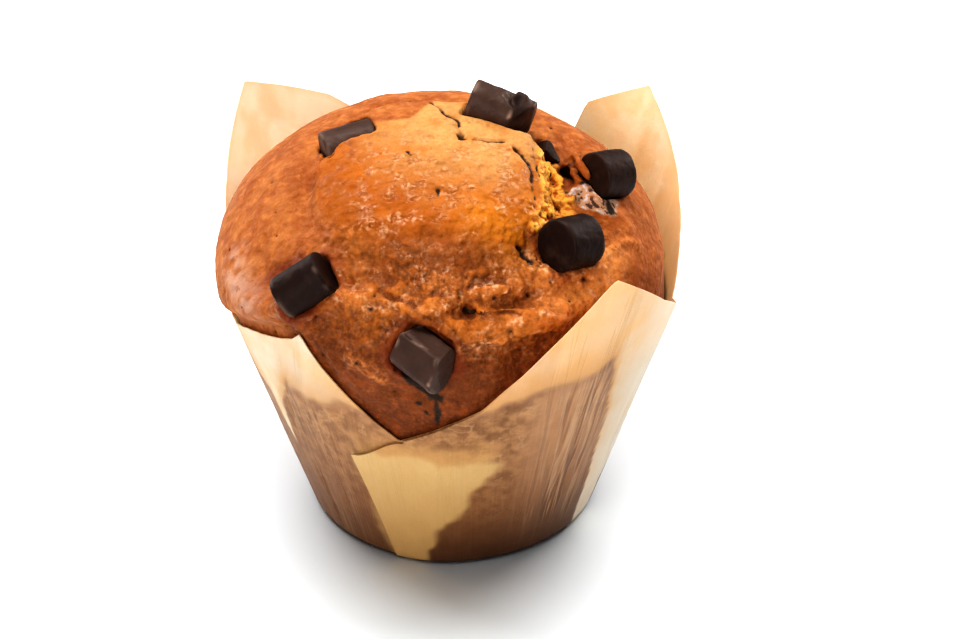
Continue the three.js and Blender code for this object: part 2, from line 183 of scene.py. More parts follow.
# %% A material being made
class Finish:
    """A material, built node by node."""

    def __init__(self, name):
        self.material = bpy.data.materials.new(name)
        self.material.use_nodes = True
        self.tree = self.material.node_tree
        self.tree.nodes.clear()
        self.place = self.node("ShaderNodeTexCoord", output="Object")

    def node(self, kind, settings=None, inputs=None, output=0):
        """Adds a node with its settings and its inputs, and gives one of its outputs."""
        made = self.tree.nodes.new(kind)
        for name, value in (settings or {}).items():
            setattr(made, name, value)
        for name, value in (inputs or {}).items():
            if isinstance(value, Socket):
                self.tree.links.new(value.output, made.inputs[name])
            else:
                made.inputs[name].default_value = value
        return Socket(self, made.outputs[output])

    def mix(self, share, low, high):
        """A colour that goes from low to high as share goes from 0 to 1."""
        settings = {"data_type": "RGBA", "clamp_factor": True}
        return self.node("ShaderNodeMix", settings, {0: share, 6: low, 7: high}, output=2)

    def coats(self, colour, *layers):
        """A colour with others laid over it in turn, each given as a share from 0 to 1 and a colour."""
        for share, layer in layers:
            colour = self.mix(share, colour, layer)
        return colour

    def noise(self, size, detail=3.0):
        """Cloudy noise from 0 to 1, with clouds of about size mm."""
        inputs = {"Vector": self.place, "Scale": 1 / (size * MM), "Detail": detail}
        return self.node("ShaderNodeTexNoise", {}, inputs)

    def vector(self, operation, first, second):
        """Vector maths on two places or directions."""
        return self.node("ShaderNodeVectorMath", {"operation": operation}, {0: first, 1: second})

    def around(self, size, detail, stretch):
        """Noise round the Z axis, with streaks of about size mm that run up a wall 30 mm out."""
        wall = 30 * MM
        flat = self.vector("MULTIPLY", self.place, (1, 1, 0))
        ring = self.vector("MULTIPLY", self.vector("NORMALIZE", flat, (0, 0, 0)), (wall, wall, 0))
        up = self.vector("MULTIPLY", self.place, (0, 0, 1 / stretch))
        place = self.vector("ADD", ring, up)
        inputs = {"Vector": place, "Scale": 1 / (size * MM), "Detail": detail}
        return self.node("ShaderNodeTexNoise", {}, inputs)

    def ramp(self, value, low, high):
        """A value from low to high, drawn out smoothly from 0 to 1. low may be the greater one."""
        limits = {"Value": value, "From Min": low, "From Max": high}
        return self.node("ShaderNodeMapRange", {"interpolation_type": "SMOOTHSTEP"}, limits)

    def painted(self, name):
        """A mask that was painted on the mesh, from 0 to 1."""
        return self.node("ShaderNodeAttribute", {"attribute_name": name}, output="Fac")

    def all_painted(self, *names):
        """Several painted masks at once."""
        return [self.painted(name) for name in names]

    def bump(self, height, depth, below=None):
        """A bumped normal, depth mm deep, over the normal below it."""
        inputs = {"Height": height, "Distance": depth * MM, "Strength": 1.0}
        if below:
            inputs["Normal"] = below
        return self.node("ShaderNodeBump", {}, inputs)

    def principled(self, inputs):
        """The common shader, with what goes into its sockets."""
        return self.node("ShaderNodeBsdfPrincipled", {}, inputs)

    def done(self, shader):
        """Ends the graph with a shader and gives the material."""
        ending = self.tree.nodes.new("ShaderNodeOutputMaterial")
        self.tree.links.new(shader.output, ending.inputs["Surface"])
        return self.material


def tint(red, green, blue):
    """A colour given as 0 to 255 on a screen, as the light it stands for."""
    shares = [value / 255 for value in (red, green, blue)]
    return [((s + 0.055) / 1.055) ** 2.4 if s > 0.04045 else s / 12.92 for s in shares] + [1]


# %% The floor's finish
floor_finish = Finish("floor_white")
floor_grain = floor_finish.noise(40)
floor_colour = floor_finish.mix(floor_grain, tint(238, 244, 248), tint(243, 248, 250))
floor_shader = floor_finish.principled({"Base Color": floor_colour, "Roughness": 0.8})
floor.data.materials.append(floor_finish.done(floor_shader))

# %% [markdown]
# ## Tools for shaping
#
# The pieces are shaped as a maker would: take a form, remesh it, smooth it, and press or raise parts of
# it. `apply` adds a modifier and applies it, and `editing` opens a piece in Edit mode for a few steps.
# `press` uses the Displace modifier behind a mask, which is a number from 0 to 1 for each vertex, and
# `paint` keeps such masks on the mesh for the material to read.


# %% Choosing a piece, editing it, and applying a modifier
def only(piece):
    """Makes one piece the selected and active one."""
    bpy.ops.object.select_all(action="DESELECT")
    piece.select_set(True)
    bpy.context.view_layer.objects.active = piece


@contextlib.contextmanager
def editing(piece, kind="VERT"):
    """Edit mode on a piece with all of it selected, for as long as a with block lasts."""
    only(piece)
    bpy.ops.object.mode_set(mode="EDIT")
    bpy.ops.mesh.select_mode(type=kind)
    bpy.ops.mesh.select_all(action="SELECT")
    yield
    bpy.ops.object.mode_set(mode="OBJECT")


def apply(piece, kind, **settings):
    """Adds a modifier with its settings and applies it."""
    only(piece)
    modifier = piece.modifiers.new(kind.lower(), kind)
    for name, value in settings.items():
        setattr(modifier, name, value)
    bpy.ops.object.modifier_apply(modifier=modifier.name)


def copy_of(piece, name):
    """A free copy of a piece, with a mesh of its own."""
    copied = piece.copy()
    copied.data = piece.data.copy()
    copied.parent = None
    copied.name = name
    scene.collection.objects.link(copied)
    return copied


def points_of(piece):
    """The places of a piece's vertices, in mm."""
    flat = np.empty(3 * len(piece.data.vertices))
    piece.data.vertices.foreach_get("co", flat)
    return flat.reshape(-1, 3) / MM


def normals_of(piece):
    """The normals at a piece's vertices."""
    flat = np.empty(3 * len(piece.data.vertices))
    piece.data.vertex_normals.foreach_get("vector", flat)
    return flat.reshape(-1, 3)


def move_points(piece, points):
    """Puts a piece's vertices at places given in mm."""
    piece.data.vertices.foreach_set("co", (points * MM).ravel())
    piece.data.update()


# %% Pressing, raising and painting behind a mask
MASK_STEPS = 40


def add_mask(piece, name, mask):
    """Keeps a mask as a vertex group, in steps, so that a modifier can work behind it."""
    group = piece.vertex_groups.new(name=name)
    steps = np.round(np.clip(mask, 0, 1) * MASK_STEPS).astype(int)
    for step in range(1, MASK_STEPS + 1):
        group.add(np.flatnonzero(steps == step).tolist(), step / MASK_STEPS, "REPLACE")


def press(piece, depth, mask, pattern=None, middle=0.0):
    """Moves the surface inwards by depth mm, or out where depth is below zero, by a pattern behind a mask."""
    add_mask(piece, "pressed", mask)
    settings = {"vertex_group": "pressed", "strength": -depth * MM, "mid_level": middle}
    if pattern:
        settings |= {"texture": pattern, "texture_coords": "LOCAL"}
    apply(piece, "DISPLACE", **settings)
    piece.vertex_groups.remove(piece.vertex_groups["pressed"])


def paint(piece, **masks):
    """Keeps masks on the mesh under their names, for the material to read."""
    for name, mask in masks.items():
        layer = piece.data.attributes.new(name, "FLOAT", "POINT")
        layer.data.foreach_set("value", np.clip(mask, 0, 1).astype(np.float32))


def pattern(kind, size, **settings):
    """A solid pattern for the Displace modifier, with features of about size mm."""
    texture = bpy.data.textures.new(f"{kind.lower()}_{size}", kind)
    texture.noise_scale = size * MM
    for name, value in settings.items():
        setattr(texture, name, value)
    return texture


# %% Handing a finished piece over to the frame
def hand_over(piece, material, slot, *nodes):
    """Gives a piece its material, hangs it on the root body and hides the solids it takes the place of."""
    piece.data.materials.clear()
    piece.data.materials.append(material)
    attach(piece, "root")
    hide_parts(*nodes)
    low, high = points_of(piece).min(axis=0), points_of(piece).max(axis=0)
    triangles = sum(len(face.vertices) - 2 for face in piece.data.polygons)
    print(piece.name, "triangles", triangles, "from", low.round(1), "to", high.round(1))


# %% [markdown]
# ## Noise and distances
#
# Masks are worked out from where a vertex is. Two kinds of sum do most of it: smooth noise, which makes
# an edge wander as batter does, and the distance to a line that was drawn over the crust with a few
# points. The noise hashes the corners of a grid, so it is the same on every run.


# %% Smooth noise
PRIMES = (374761393, 668265263, 2147483647)
MIXER = 1274126177
LOW_BITS = 0xFFFFFFFF


def corner_value(cell):
    """A repeatable number from 0 to 1 for each corner of a grid."""
    mixed = np.bitwise_xor.reduce(cell * PRIMES & LOW_BITS, axis=1)
    mixed = (mixed ^ (mixed >> 13)) * MIXER & LOW_BITS
    return (mixed ^ (mixed >> 16)) / (LOW_BITS + 1)


def lumps(points, size):
    """Smooth noise from -1 to 1, with lumps of about size mm."""
    place = points / size + 64
    cell = np.floor(place).astype(np.int64)
    inside = place - cell
    share = inside * inside * (3 - 2 * inside)
    total = np.zeros(len(points))
    for corner in itertools.product((0, 1), repeat=3):
        weight = np.where(corner, share, 1 - share).prod(axis=1)
        total += weight * corner_value(cell + np.array(corner))
    return 2 * total - 1


def ease(value, low, high):
    """0 below low, 1 above high, and smooth between them. low may be the greater one."""
    share = np.clip((value - low) / (high - low), 0, 1)
    return share * share * (3 - 2 * share)


# %% Distances and bells
def line_distance(points, line):
    """Distance from each point to a line drawn through a few points, in mm."""
    best = np.full(len(points), np.inf)
    for start, end in itertools.pairwise(np.array(line, float)):
        along = end - start
        share = np.clip((points - start) @ along / (along @ along), 0, 1)
        gap = points - start - share[:, None] * along
        best = np.minimum(best, np.linalg.norm(gap, axis=1))
    return best


def hump(value, middle, width):
    """1 where a value is in the middle, fading over width on either side."""
    return np.exp(-(((value - middle) / width) ** 2))


def groove(points, line, width):
    """A mask of 1 on a line, fading over width mm on either side."""
    return hump(line_distance(points, line), 0, width)


def painted_lines(points, lines):
    """One mask from several lines with their widths."""
    return np.max([groove(points, line, width) for line, width in lines], axis=0)


def turn(angle):
    """The same direction as an angle from -180 to 180 degrees."""
    return (angle + 180) % 360 - 180


def bell(angle, centre, width):
    """1 at an azimuth and fading over width degrees either way round."""
    return hump(turn(angle - centre), 0, width)


def read_off(value, edge):
    """The height of an edge that is given as pairs of a place and a height, with straight lines between."""
    return np.interp(value, *np.array(edge).T)


# %% [markdown]
# ## The chocolate
#
# Baking chocolate comes as short rods, cut and tumbled, so their edges are a little round and three of
# them are broken. Each solid of the CAD model is measured: the direction in which most of its flat faces
# look is the rod's axis. Then a cylinder is added at that size, planes cut off what is broken, its rims
# are bevelled, and a fine remesh lets small dents and chips show. A carved mesh would do as well, but a
# cut cylinder keeps the flat ends and the round side true.


# %% Measure a rod
def measure_rod(node):
    """The middle, axis, length and radius of a rod, from its CAD solid, in mm."""
    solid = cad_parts[node]
    faces = solid.data.polygons
    normals = np.array([face.normal for face in faces])
    areas = np.array([face.area for face in faces])
    alike = (normals @ normals.T > 0.999) @ areas
    axis = -normals[alike.argmax()]
    points = points_of(solid)
    along = points @ axis
    middle_along = (along.min() + along.max()) / 2
    across = points - along[:, None] * axis
    centre = (across.min(axis=0) + across.max(axis=0)) / 2
    radius = np.linalg.norm(across - centre, axis=1).max()
    centre = centre + (middle_along - centre @ axis) * axis
    return centre, axis, along.max() - along.min(), radius


RODS = {node: measure_rod(node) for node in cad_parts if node.startswith("chunk")}
for rod_name, (_, _, rod_length, rod_radius) in RODS.items():
    print(rod_name, "length", round(rod_length, 1), "radius", round(rod_radius, 1))


# %% Where points lie from a rod
def along_and_across(points, node):
    """How far points lie along a rod from its middle, and how far from its axis, in mm."""
    centre, axis, _, _ = RODS[node]
    along = (points - centre) @ axis
    return along, np.linalg.norm(points - centre - along[:, None] * axis, axis=1)


def rod_distance(points, node):
    """Distance from each point to a rod's surface, in mm, below zero inside it."""
    _, _, length, radius = RODS[node]
    along, across = along_and_across(points, node)
    beyond = np.abs(along) - length / 2
    aside = across - radius
    outside = np.hypot(np.maximum(aside, 0), np.maximum(beyond, 0))
    return outside + np.minimum(np.maximum(aside, beyond), 0)


# %% Model one rod
RIM_BEVEL = 0.3 * MM
ROD_VOXEL = 0.24 * MM
THICK_ROD = 3

BREAKS = {
    # what is broken off: a place in mm and a direction, both along a rod's own axes
    "chunk_top": [((-3.6, 0, 2.2), (-0.55, -0.2, 0.8))],
    "chunk_crumb": [
        ((0, 0, 1.4), (0.5, 0.5, 1)),
        ((-0.6, 0.7, 0), (-0.8, 0.9, 0.3)),
        ((-0.9, -0.2, -0.8), (-0.9, -0.3, -0.5)),
        ((0, 0.4, -1.1), (-0.1, 0.7, -1)),
        ((0.4, -0.5, -1.0), (0.3, -0.8, -0.9)),
        ((0, 1.35, 0), (-0.4, 1, -0.5)),
        ((0.2, 1.4, 0.6), (0.5, 1, 0.6)),
    ],
    "chunk_front": [
        ((0, 0, 3.9), (0.35, 0.1, 1)),
        ((0, 3.1, 0), (0.12, 1, 0)),
        ((-2.6, 1.6, 0), (-1, 0.45, 0.05)),
    ],
}
NICKS = {
    # where a rod was chipped, or stands out: points over it, half width and depth, in mm
    "chunk_top": [
        ([(10.0, 5.4, 73.6), (10.0, 3.4, 73.2)], 0.7, 0.9),
        ([(10.1, 3.4, 73.2), (10.4, 1.6, 71.8)], 0.6, 0.5),
        ([(11.0, 5.0, 73.3), (12.0, 4.4, 72.9)], 0.7, -0.8),
        ([(8.8, 4.2, 73.8), (9.2, 3.8, 73.6)], 0.4, 0.4),
    ],
    "chunk_front": [
        ([(-1.6, -41.2, 53.2), (-2.4, -42.0, 52.2)], 0.4, 0.5),
        ([(-6.4, -36.2, 54.2), (-4.6, -38.0, 54.0)], 0.35, 0.3),
    ],
}


def add_rod(node):
    """A rod of chocolate in the place of its solid, with what is broken off it cut away."""
    centre, axis, length, radius = RODS[node]
    bpy.ops.mesh.primitive_cylinder_add(vertices=48, radius=radius * MM, depth=length * MM)
    rod = bpy.context.object
    rod.name = f"{node}_rod"
    with editing(rod, "FACE"):
        for place, direction in BREAKS.get(node, ()):
            bpy.ops.mesh.select_all(action="SELECT")
            bpy.ops.mesh.bisect(
                plane_co=Vector(place) * MM, plane_no=direction, use_fill=True, clear_outer=True
            )
    apply(rod, "BEVEL", width=RIM_BEVEL, segments=3, limit_method="ANGLE", angle_limit=0.5)
    rod.rotation_mode = "QUATERNION"
    rod.rotation_quaternion = Vector(axis).to_track_quat("Z", "Y")
    rod.location = Vector(centre) * MM
    bpy.ops.object.transform_apply(location=True, rotation=True, scale=True)
    apply(rod, "REMESH", mode="VOXEL", voxel_size=ROD_VOXEL * min(1, radius / THICK_ROD))
    apply(rod, "SMOOTH", factor=0.5, iterations=2)
    everywhere = np.ones(len(rod.data.vertices))
    press(rod, 0.3, everywhere, pattern("CLOUDS", 3.1), 0.5)
    press(rod, 0.1, everywhere, pattern("CLOUDS", 0.8), 0.5)
    for line, width, depth in NICKS.get(node, ()):
        press(rod, depth, groove(points_of(rod), line, width))
    bpy.ops.object.shade_smooth()
    return rod


# %% [markdown]
# The finish is satin, because cocoa butter that melts and sets again loses its gloss, and some rods bloomed
# paler than others. Two sizes of noise give the clouded look, and two painted masks say where the rims were
# rubbed bright, partly as painted highlights, and which rods turned pale, but for one hollow of painted
# shade.
# One finish for all nine keeps them one kind of chocolate.


# %% The chocolate's finish
def make_chocolate():
    """Dark baking chocolate: satin, a little bloomed, lighter on rubbed edges and painted highlights."""
    finish = Finish("dark_chocolate")
    cloud = finish.noise(2.6, 4)
    fine = finish.noise(0.5, 2)
    bloom = finish.ramp(cloud, 0.5, 0.78)
    pale = finish.painted("pale")
    colour = finish.coats(
        tint(34, 18, 14),
        (pale, tint(78, 57, 48)),
        (bloom * 0.35, tint(80, 58, 48)),
        # rims rubbed lighter, partly painted highlights
        (finish.painted("worn"), tint(156, 128, 112)),
    )
    roughness = 0.54 - 0.12 * pale + 0.15 * bloom + 0.1 * fine
    normal = finish.bump(fine, 0.035, finish.bump(cloud, 0.08))
    inputs = {
        "Base Color": colour,
        "Roughness": roughness,
        "Normal": normal,
        "Specular IOR Level": 0.22,
        "Specular Tint": tint(255, 234, 224),
    }
    return finish.done(finish.principled(inputs))


chocolate = make_chocolate()


# %% Paint the worn edges and their painted highlights, and place all nine rods
RIM_WEAR = 0.35
SCUFF_WIDTH = 0.28
HOLLOW_WIDTH = 1.5
COMMON_WEAR = 0.3
COMMON_PALE = 0.3
# how worn the rims are, with their painted highlights, and how pale the chocolate has turned,
# where it isn't like on most rods
WEAR = {"chunk_front": 0.6, "chunk_top": 0.5, "chunk_front_right": 0.1, "chunk_right": 0.05}
PALE = {
    "chunk_front": 0.8,
    "chunk_top": 0.95,
    "chunk_dome_edge": 0.9,
    "chunk_front_right": 0.0,
    "chunk_front_left": 0.0,
    "chunk_right": 0.15,
}
SCUFFS = {
    # bright chips on edges, partly painted highlights: points over the rod, in mm
    "chunk_front": [
        [(-5.4, -37.2, 54.1), (-3.4, -39.0, 53.8)],
        [(-1.7, -41.0, 53.1), (-2.3, -41.8, 52.3)],
        [(-2.9, -42.5, 50.6), (-3.2, -42.4, 49.0)],
    ],
    "chunk_top": [[(8.7, 4.2, 73.8), (9.3, 3.8, 73.6)], [(9.5, 2.0, 72.0), (9.3, 1.2, 71.4)]],
}
# painted shade in the hollow of chunk_top's broken face, where the chocolate is kept dark
HOLLOW = [(10.8, 4.0, 73.2), (11.2, 2.4, 72.2), (10.6, 0.6, 70.8)]


def paint_wear(rod, node):
    """Masks a rod's rubbed rims with painted highlights, and its bloom, kept out of a hollow of painted
    shade.
    """
    _, _, length, radius = RODS[node]
    points = points_of(rod)
    along, across = along_and_across(points, node)
    rim = hump(np.abs(along), length / 2 - RIM_WEAR, RIM_WEAR)
    rim *= ease(across, radius - 1.0, radius - 0.3)
    worn = WEAR.get(node, COMMON_WEAR) * rim * ease(lumps(points, 1.6), -0.2, 0.6)
    # painted highlights along the scuffed edges, over the wear
    for line in SCUFFS.get(node, ()):
        worn = np.maximum(worn, groove(points + 0.2 * lumps(points, 0.8)[:, None], line, SCUFF_WIDTH))
    # painted shade: the hollow of a broken face keeps its dark colour, without bloom
    fresh = groove(points, HOLLOW, HOLLOW_WIDTH)
    pale = PALE.get(node, COMMON_PALE) * (1 - fresh) * (1 + 0.3 * lumps(points, 2.2))
    paint(rod, worn=worn, pale=pale)


for node in RODS:
    rod = add_rod(node)
    paint_wear(rod, node)
    hand_over(rod, chocolate, "chocolate", node)

# %% [markdown]
# ## The cake
#
# The crust is one skin with many faces. The inner dome rose last: it is yellow, smooth and glossy, and it
# tore away from the ring on the right, where the crumb shows. The ring is redder and matt. The front
# bunched up into folds covered in small shiny lumps, and gets darker towards the paper.
#
# A copy of the solid is merged, and small strands are added over the tear as stretched balls. A
# voxel remesh then makes one fine even skin of it all, as clay would be worked together. Smoothing takes
# out the solid's facets, and patterns pressed in behind masks give each part of the crust its own relief.

# %% Copy the solid, with strands over the tear
STRANDS = [
    # from, to, half thickness, all in mm
    ((19.8, 5.2, 62.4), (20.6, -2.8, 66.2), 0.68),
    ((20.0, -1.2, 66.1), (22.3, -6.6, 64.2), 0.62),
    ((18.9, 2.4, 62.4), (20.8, -5.6, 63.2), 0.6),
    ((15.2, 0.4, 63.6), (18.2, -6.4, 62.4), 0.45),
    ((14.8, -3.0, 65.2), (15.2, -8.6, 64.9), 0.6),
    ((14.8, -9.4, 64.7), (17.0, -12.4, 62.6), 0.7),
    ((16.2, 2.6, 63.0), (17.4, -0.8, 61.8), 0.7),
    ((17.6, -10.4, 62.2), (20.8, -8.8, 62.6), 0.6),
    ((18.6, -7.4, 62.2), (21.4, -6.6, 63.0), 0.5),
    ((22.0, -7.6, 62.2), (24.2, -10.4, 61.6), 0.6),
]
# the first few are browned crust, the others bare crumb
CRUST_STRANDS = 3
CRUST_VOXEL = 0.34 * MM
CRUST_SMOOTHING = 22
HIDDEN_BELOW = 30
HIDDEN_SHARE = 0.03
SAME_PLACE = 1e-7

crust = copy_of(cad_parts["muffin"], "crust")
with editing(crust):
    bpy.ops.mesh.remove_doubles(threshold=SAME_PLACE)
    for start, end, half in STRANDS:
        start, end = Vector(start), Vector(end)
        bpy.ops.mesh.primitive_uv_sphere_add(
            segments=16,
            ring_count=12,
            radius=MM,
            location=(start + end) / 2 * MM,
            rotation=(end - start).to_track_quat("Z", "Y").to_euler(),
            scale=(half, half, (end - start).length / 2),
        )
apply(crust, "REMESH", mode="VOXEL", voxel_size=CRUST_VOXEL)
apply(crust, "SMOOTH", factor=0.5, iterations=CRUST_SMOOTHING)


def thin_out(piece, where, share):
    """Keeps only a share of the faces in a part of a piece."""
    with editing(piece):
        bpy.ops.mesh.select_all(action="DESELECT")
        bpy.ops.object.mode_set(mode="OBJECT")
        piece.data.vertices.foreach_set("select", where)
        bpy.ops.object.mode_set(mode="EDIT")
        bpy.ops.mesh.decimate(ratio=share)


thin_out(crust, points_of(crust)[:, 2] < HIDDEN_BELOW, HIDDEN_SHARE)
print("crust skin", len(crust.data.vertices), "vertices")

# %% [markdown]
# Places on the crust are given about a point deep under the dome: an azimuth, and an angle down from
# straight above. `past` is how far a place lies beyond the dome's wandering edge, in degrees. The same sum
# shaped the solid, so masks made from it fall where the solid has its dome, its groove and its tear.
# `home` keeps where each vertex is before any relief, so that every mask lines up with every other.

# %% Where each vertex lies
DOME_CENTRE = np.array([-3.5, -8, 40])
DOME_ANGLE = 36
DOME_FRONT_ANGLE = 11
FRONT_AZIMUTH = -84
FRONT_SPREAD = 58
TEAR_AZIMUTH = 6
TEAR_SPREAD = 34


def dome_place(points):
    """Azimuth round the dome, and degrees past the dome's edge."""
    x, y, z = (points - DOME_CENTRE).T
    azimuth = np.degrees(np.arctan2(y, x))
    angle = np.degrees(np.arctan2(np.hypot(x, y), z))
    frontward = np.maximum(0, -np.sin(np.radians(azimuth)))
    edge = DOME_ANGLE + DOME_FRONT_ANGLE * frontward + 2.2 * lumps(points, 9)
    return azimuth, angle - edge


# the dome's torn side, over which the crumb runs up
TEAR_WALL = [(14.4, -3, 66.6), (14.7, -9.8, 65.6), (15.2, -15, 64.2), (13.6, -19.4, 63.6)]

home = points_of(crust)
azimuth, past = dome_place(home)
front = bell(azimuth, FRONT_AZIMUTH, FRONT_SPREAD)
shown = ease(home[:, 2], HIDDEN_BELOW + 1, HIDDEN_BELOW + 5)
near_rod = np.min([rod_distance(home, node) for node in RODS], axis=0)
clear = ease(near_rod, 0.1, 1.2) * shown
grainy = ease(front, 0.15, 0.6) * ease(past, -17, -6) * clear
torn = bell(azimuth, TEAR_AZIMUTH, TEAR_SPREAD) * ease(past, -1.5, 0.5) * ease(past, 12, 8)
torn = np.maximum(torn, ease(line_distance(home, TEAR_WALL), 2.2, 1.2)) * clear
torn *= ease(home[:, 1] + 0.8 * lumps(home, 2), 3.4, 1.8)
for start, end, half in STRANDS[:CRUST_STRANDS]:
    torn *= ease(line_distance(home, [start, end]), half, half + 0.6)

# %% [markdown]
# The large folds come first, then the lumps on them. A fold is a line of a few points over the crust,
# raised or pressed with a soft profile. The lumps on them are hard noise, which has round hills and sharp
# valleys like batter that bubbled and set, with a few Voronoi cells and fine cloud over it. In the tear
# slanting threads are raised under hard noise, as bare crumb pulls apart. The rest of the crust only gets
# soft dents and small pores. Sculpting by hand would give the same forms, but lines and noise can be
# changed later.

# %% Folds
FOLDS = [
    # points over the crust, half width and depth in mm: ridges first, then valleys
    ([(-25.5, -29.6, 54.4), (-18.6, -30, 56), (-11.4, -31.3, 58.2), (-6.8, -32.4, 57.8)], 1.5, -0.7),
    ([(-3, -30.3, 59.4), (2.3, -29.8, 59.2), (7.7, -31, 58.9)], 1.2, -0.5),
    (
        [(-4.5, -33.7, 56), (0.1, -33.8, 55), (4.7, -35, 53.9), (10.8, -34.2, 54), (17, -31.6, 53.6)],
        1.6,
        -0.6,
    ),
    ([(10.8, -26.7, 59.8), (17.2, -25.2, 58), (23.5, -21.8, 57)], 1.4, -0.5),
    ([(5.4, -31.6, 55.6), (9, -32, 55.4), (13.9, -32.4, 54.6)], 1.6, -1.2),
    ([(23.2, -20.4, 57.9), (26.6, -16.4, 57.8), (29.8, -12.4, 56.5)], 0.9, -0.6),
    ([(-15.2, -34.6, 48.8), (-12.8, -35.6, 47.6), (-10.2, -36.6, 46)], 1.2, -0.5),
    ([(21.6, -20.6, 59), (25, -17.2, 58.8)], 0.5, 0.5),
    ([(-10.3, -30.9, 59.1), (-6.6, -32, 58.2), (-4.8, -32.9, 57.2)], 0.8, 0.7),
    ([(3.7, -29.3, 59.3), (7, -30, 59.2), (10, -30.6, 58.8)], 0.7, 0.7),
    ([(5, -31.9, 55.2), (10.8, -32.7, 54.9)], 0.6, 0.7),
    ([(12.4, -21.5, 63), (11.6, -23.3, 60.6), (14, -24.4, 59.8)], 1.0, 0.9),
    ([(-22.7, -9, 63.4), (-22.4, -6, 64.4)], 0.8, 0.4),
    ([(-10, -35.5, 44), (-6, -37, 44), (-3, -37.4, 41)], 1.2, 0.5),
    ([(-21.4, -3.4, 67.2), (-19.4, -4.2, 68.2)], 1.4, 1.3),
]
RIDGES = [
    # where the folds are palest, partly a paler bake and partly painted highlights:
    # points over the crust and half width, in mm
    ([(-20, -28, 57.6), (-13, -31.6, 56.5), (-3.5, -32.8, 57), (3, -31.8, 57.5)], 1.6),
    ([(-2, -30, 60), (7.3, -30.6, 58), (12.4, -28.4, 57.5)], 2.0),
    ([(3, -35.4, 51.2), (7.3, -34.5, 53), (13.7, -31.5, 54.5), (17, -28.5, 55.8)], 1.7),
    ([(10, -27, 59.4), (18, -22.6, 58.8), (25, -18.5, 57.8), (30, -12.4, 56.4)], 2.4),
    ([(14, -28.5, 57.2), (19, -24.5, 57.4), (24, -20.6, 57.4)], 2.0),
    ([(-15.2, -34.6, 48.8), (-12.8, -35.6, 47.6), (-10.2, -36.6, 46)], 1.1),
    ([(-12.5, -37, 43.6), (-9.5, -38, 43)], 1.0),
]
for line, width, depth in FOLDS:
    press(crust, depth, groove(home + 0.8 * lumps(home, 3)[:, None], line, width))

# %% Lumps, dents and the crumb in the tear
# draws noise out into threads that slant across the tear
THREAD_LEAN = [[1, 0, 0], [0.35, 0.3, 0], [0, 0, 0.8]]

patchy = grainy * (0.45 + 0.55 * ease(lumps(home, 6), -0.4, 0.4)) * (0.15 + 0.85 * ease(home[:, 2], 46, 54))
calm = clear * (1 - grainy)
on_dome = calm * ease(past, 1, -2)
threads = 1 - np.abs(lumps(home @ THREAD_LEAN, 0.75))
# the bunched front, from its largest lumps to its finest
press(crust, 0.7, grainy * (0.5 + 0.5 * ease(home[:, 2], 42, 52)), pattern("CLOUDS", 3.4), 0.5)
press(crust, -0.55, patchy, pattern("CLOUDS", 2.2, noise_depth=2, noise_type="HARD_NOISE"), 0.3)
press(crust, 0.2, patchy, pattern("VORONOI", 1.5), 0.42)
press(crust, 0.45, patchy, pattern("CLOUDS", 1.1, noise_depth=2), 0.5)
# the calmer ring and dome
press(crust, 0.5, calm, pattern("CLOUDS", 4.5), 0.5)
press(crust, 0.14, calm * (past > 0), pattern("CLOUDS", 1.5, noise_depth=2), 0.5)
press(crust, 0.3, on_dome, pattern("CLOUDS", 1.9, noise_depth=1), 0.5)
press(crust, 0.06, on_dome, pattern("VORONOI", 1.3), 0.42)
# threads and lumps of bare crumb
press(crust, -0.7, torn * threads**2)
press(crust, -0.8, torn, pattern("CLOUDS", 1.3, noise_depth=2, noise_type="HARD_NOISE"), 0.3)
# a low lip of crust round each rod
press(crust, -0.3, hump(near_rod, 0.8, 0.6) * shown)

# %% Cracks, holes and pores
CRACKS = [
    # points over the crust, half width and depth, in mm
    ([(-1.9, 5.5, 70.8), (-0.4, 3, 70.8), (1.1, 0.7, 70.8), (1.6, -3, 70.7)], 0.34, 0.8),
    ([(1.4, -2.6, 70.7), (1.7, -4.6, 70.6)], 0.6, 0.9),
    ([(1.6, -4.3, 70.7), (3.9, -4.5, 70.5), (6.1, -4.5, 70.2), (8.7, -3.6, 69.9)], 0.32, 0.7),
    ([(-1.9, 5.5, 70.8), (-3.9, 8.6, 70.2)], 0.25, 0.5),
    ([(10.2, -5.2, 69.6), (10.7, -6.0, 69.4)], 0.45, 0.8),
    ([(10.9, -6.2, 69.5), (12.6, -8.6, 68.4), (13.0, -12, 67.4), (13.2, -17.5, 65.7)], 0.48, 0.8),
    (
        [(14.5, 4.6, 64.6), (15.4, 1.5, 63), (16.4, -1.1, 62.2), (17.6, -4, 61.6), (18.8, -6.6, 61.8)],
        0.7,
        1.1,
    ),
    ([(18.9, 0.8, 61.4), (20.2, 0.2, 61.2)], 1.1, 1.4),
    ([(13.1, -4.2, 68.2), (13.6, -10, 66.9), (13.8, -15.5, 65.4)], 0.3, 0.5),
    ([(-6.9, -8.1, 70.4), (-6.4, -8.9, 70.3)], 0.45, 0.4),
    ([(-2.0, -16.8, 68.7), (-1.9, -17.9, 68.4)], 0.35, 0.5),
    ([(2.6, -31.1, 55.5), (3.6, -31.3, 55.1)], 0.45, 0.7),
    ([(-3.9, -34.6, 53.6), (-1.8, -35.2, 53.2), (0.2, -36.6, 52.4), (1.6, -38, 51.6)], 0.8, 1.3),
    ([(11.2, -23.2, 61.6), (11.8, -23.8, 60.6), (12.8, -24.4, 60)], 0.8, 0.8),
]
# painted shade inside the cracks and holes, and in the pores below
dark = np.zeros(len(home))
wander = 0.35 * np.stack([lumps(home + shift, 1.3) for shift in (0, 11, 23)], axis=1)
for line, width, depth in CRACKS:
    mask = groove(home + wander, line, width)
    press(crust, depth, mask)
    dark = np.maximum(dark, mask)

PORES = 130
rng = np.random.default_rng(11)
pores = np.zeros(len(home))
for spot in home[rng.choice(np.flatnonzero((shown > 0.9) & (past > 3)), PORES)]:
    pores = np.maximum(pores, np.exp(-(((home - spot) ** 2).sum(axis=1) / rng.uniform(0.06, 0.3))))
press(crust, 0.35, pores)
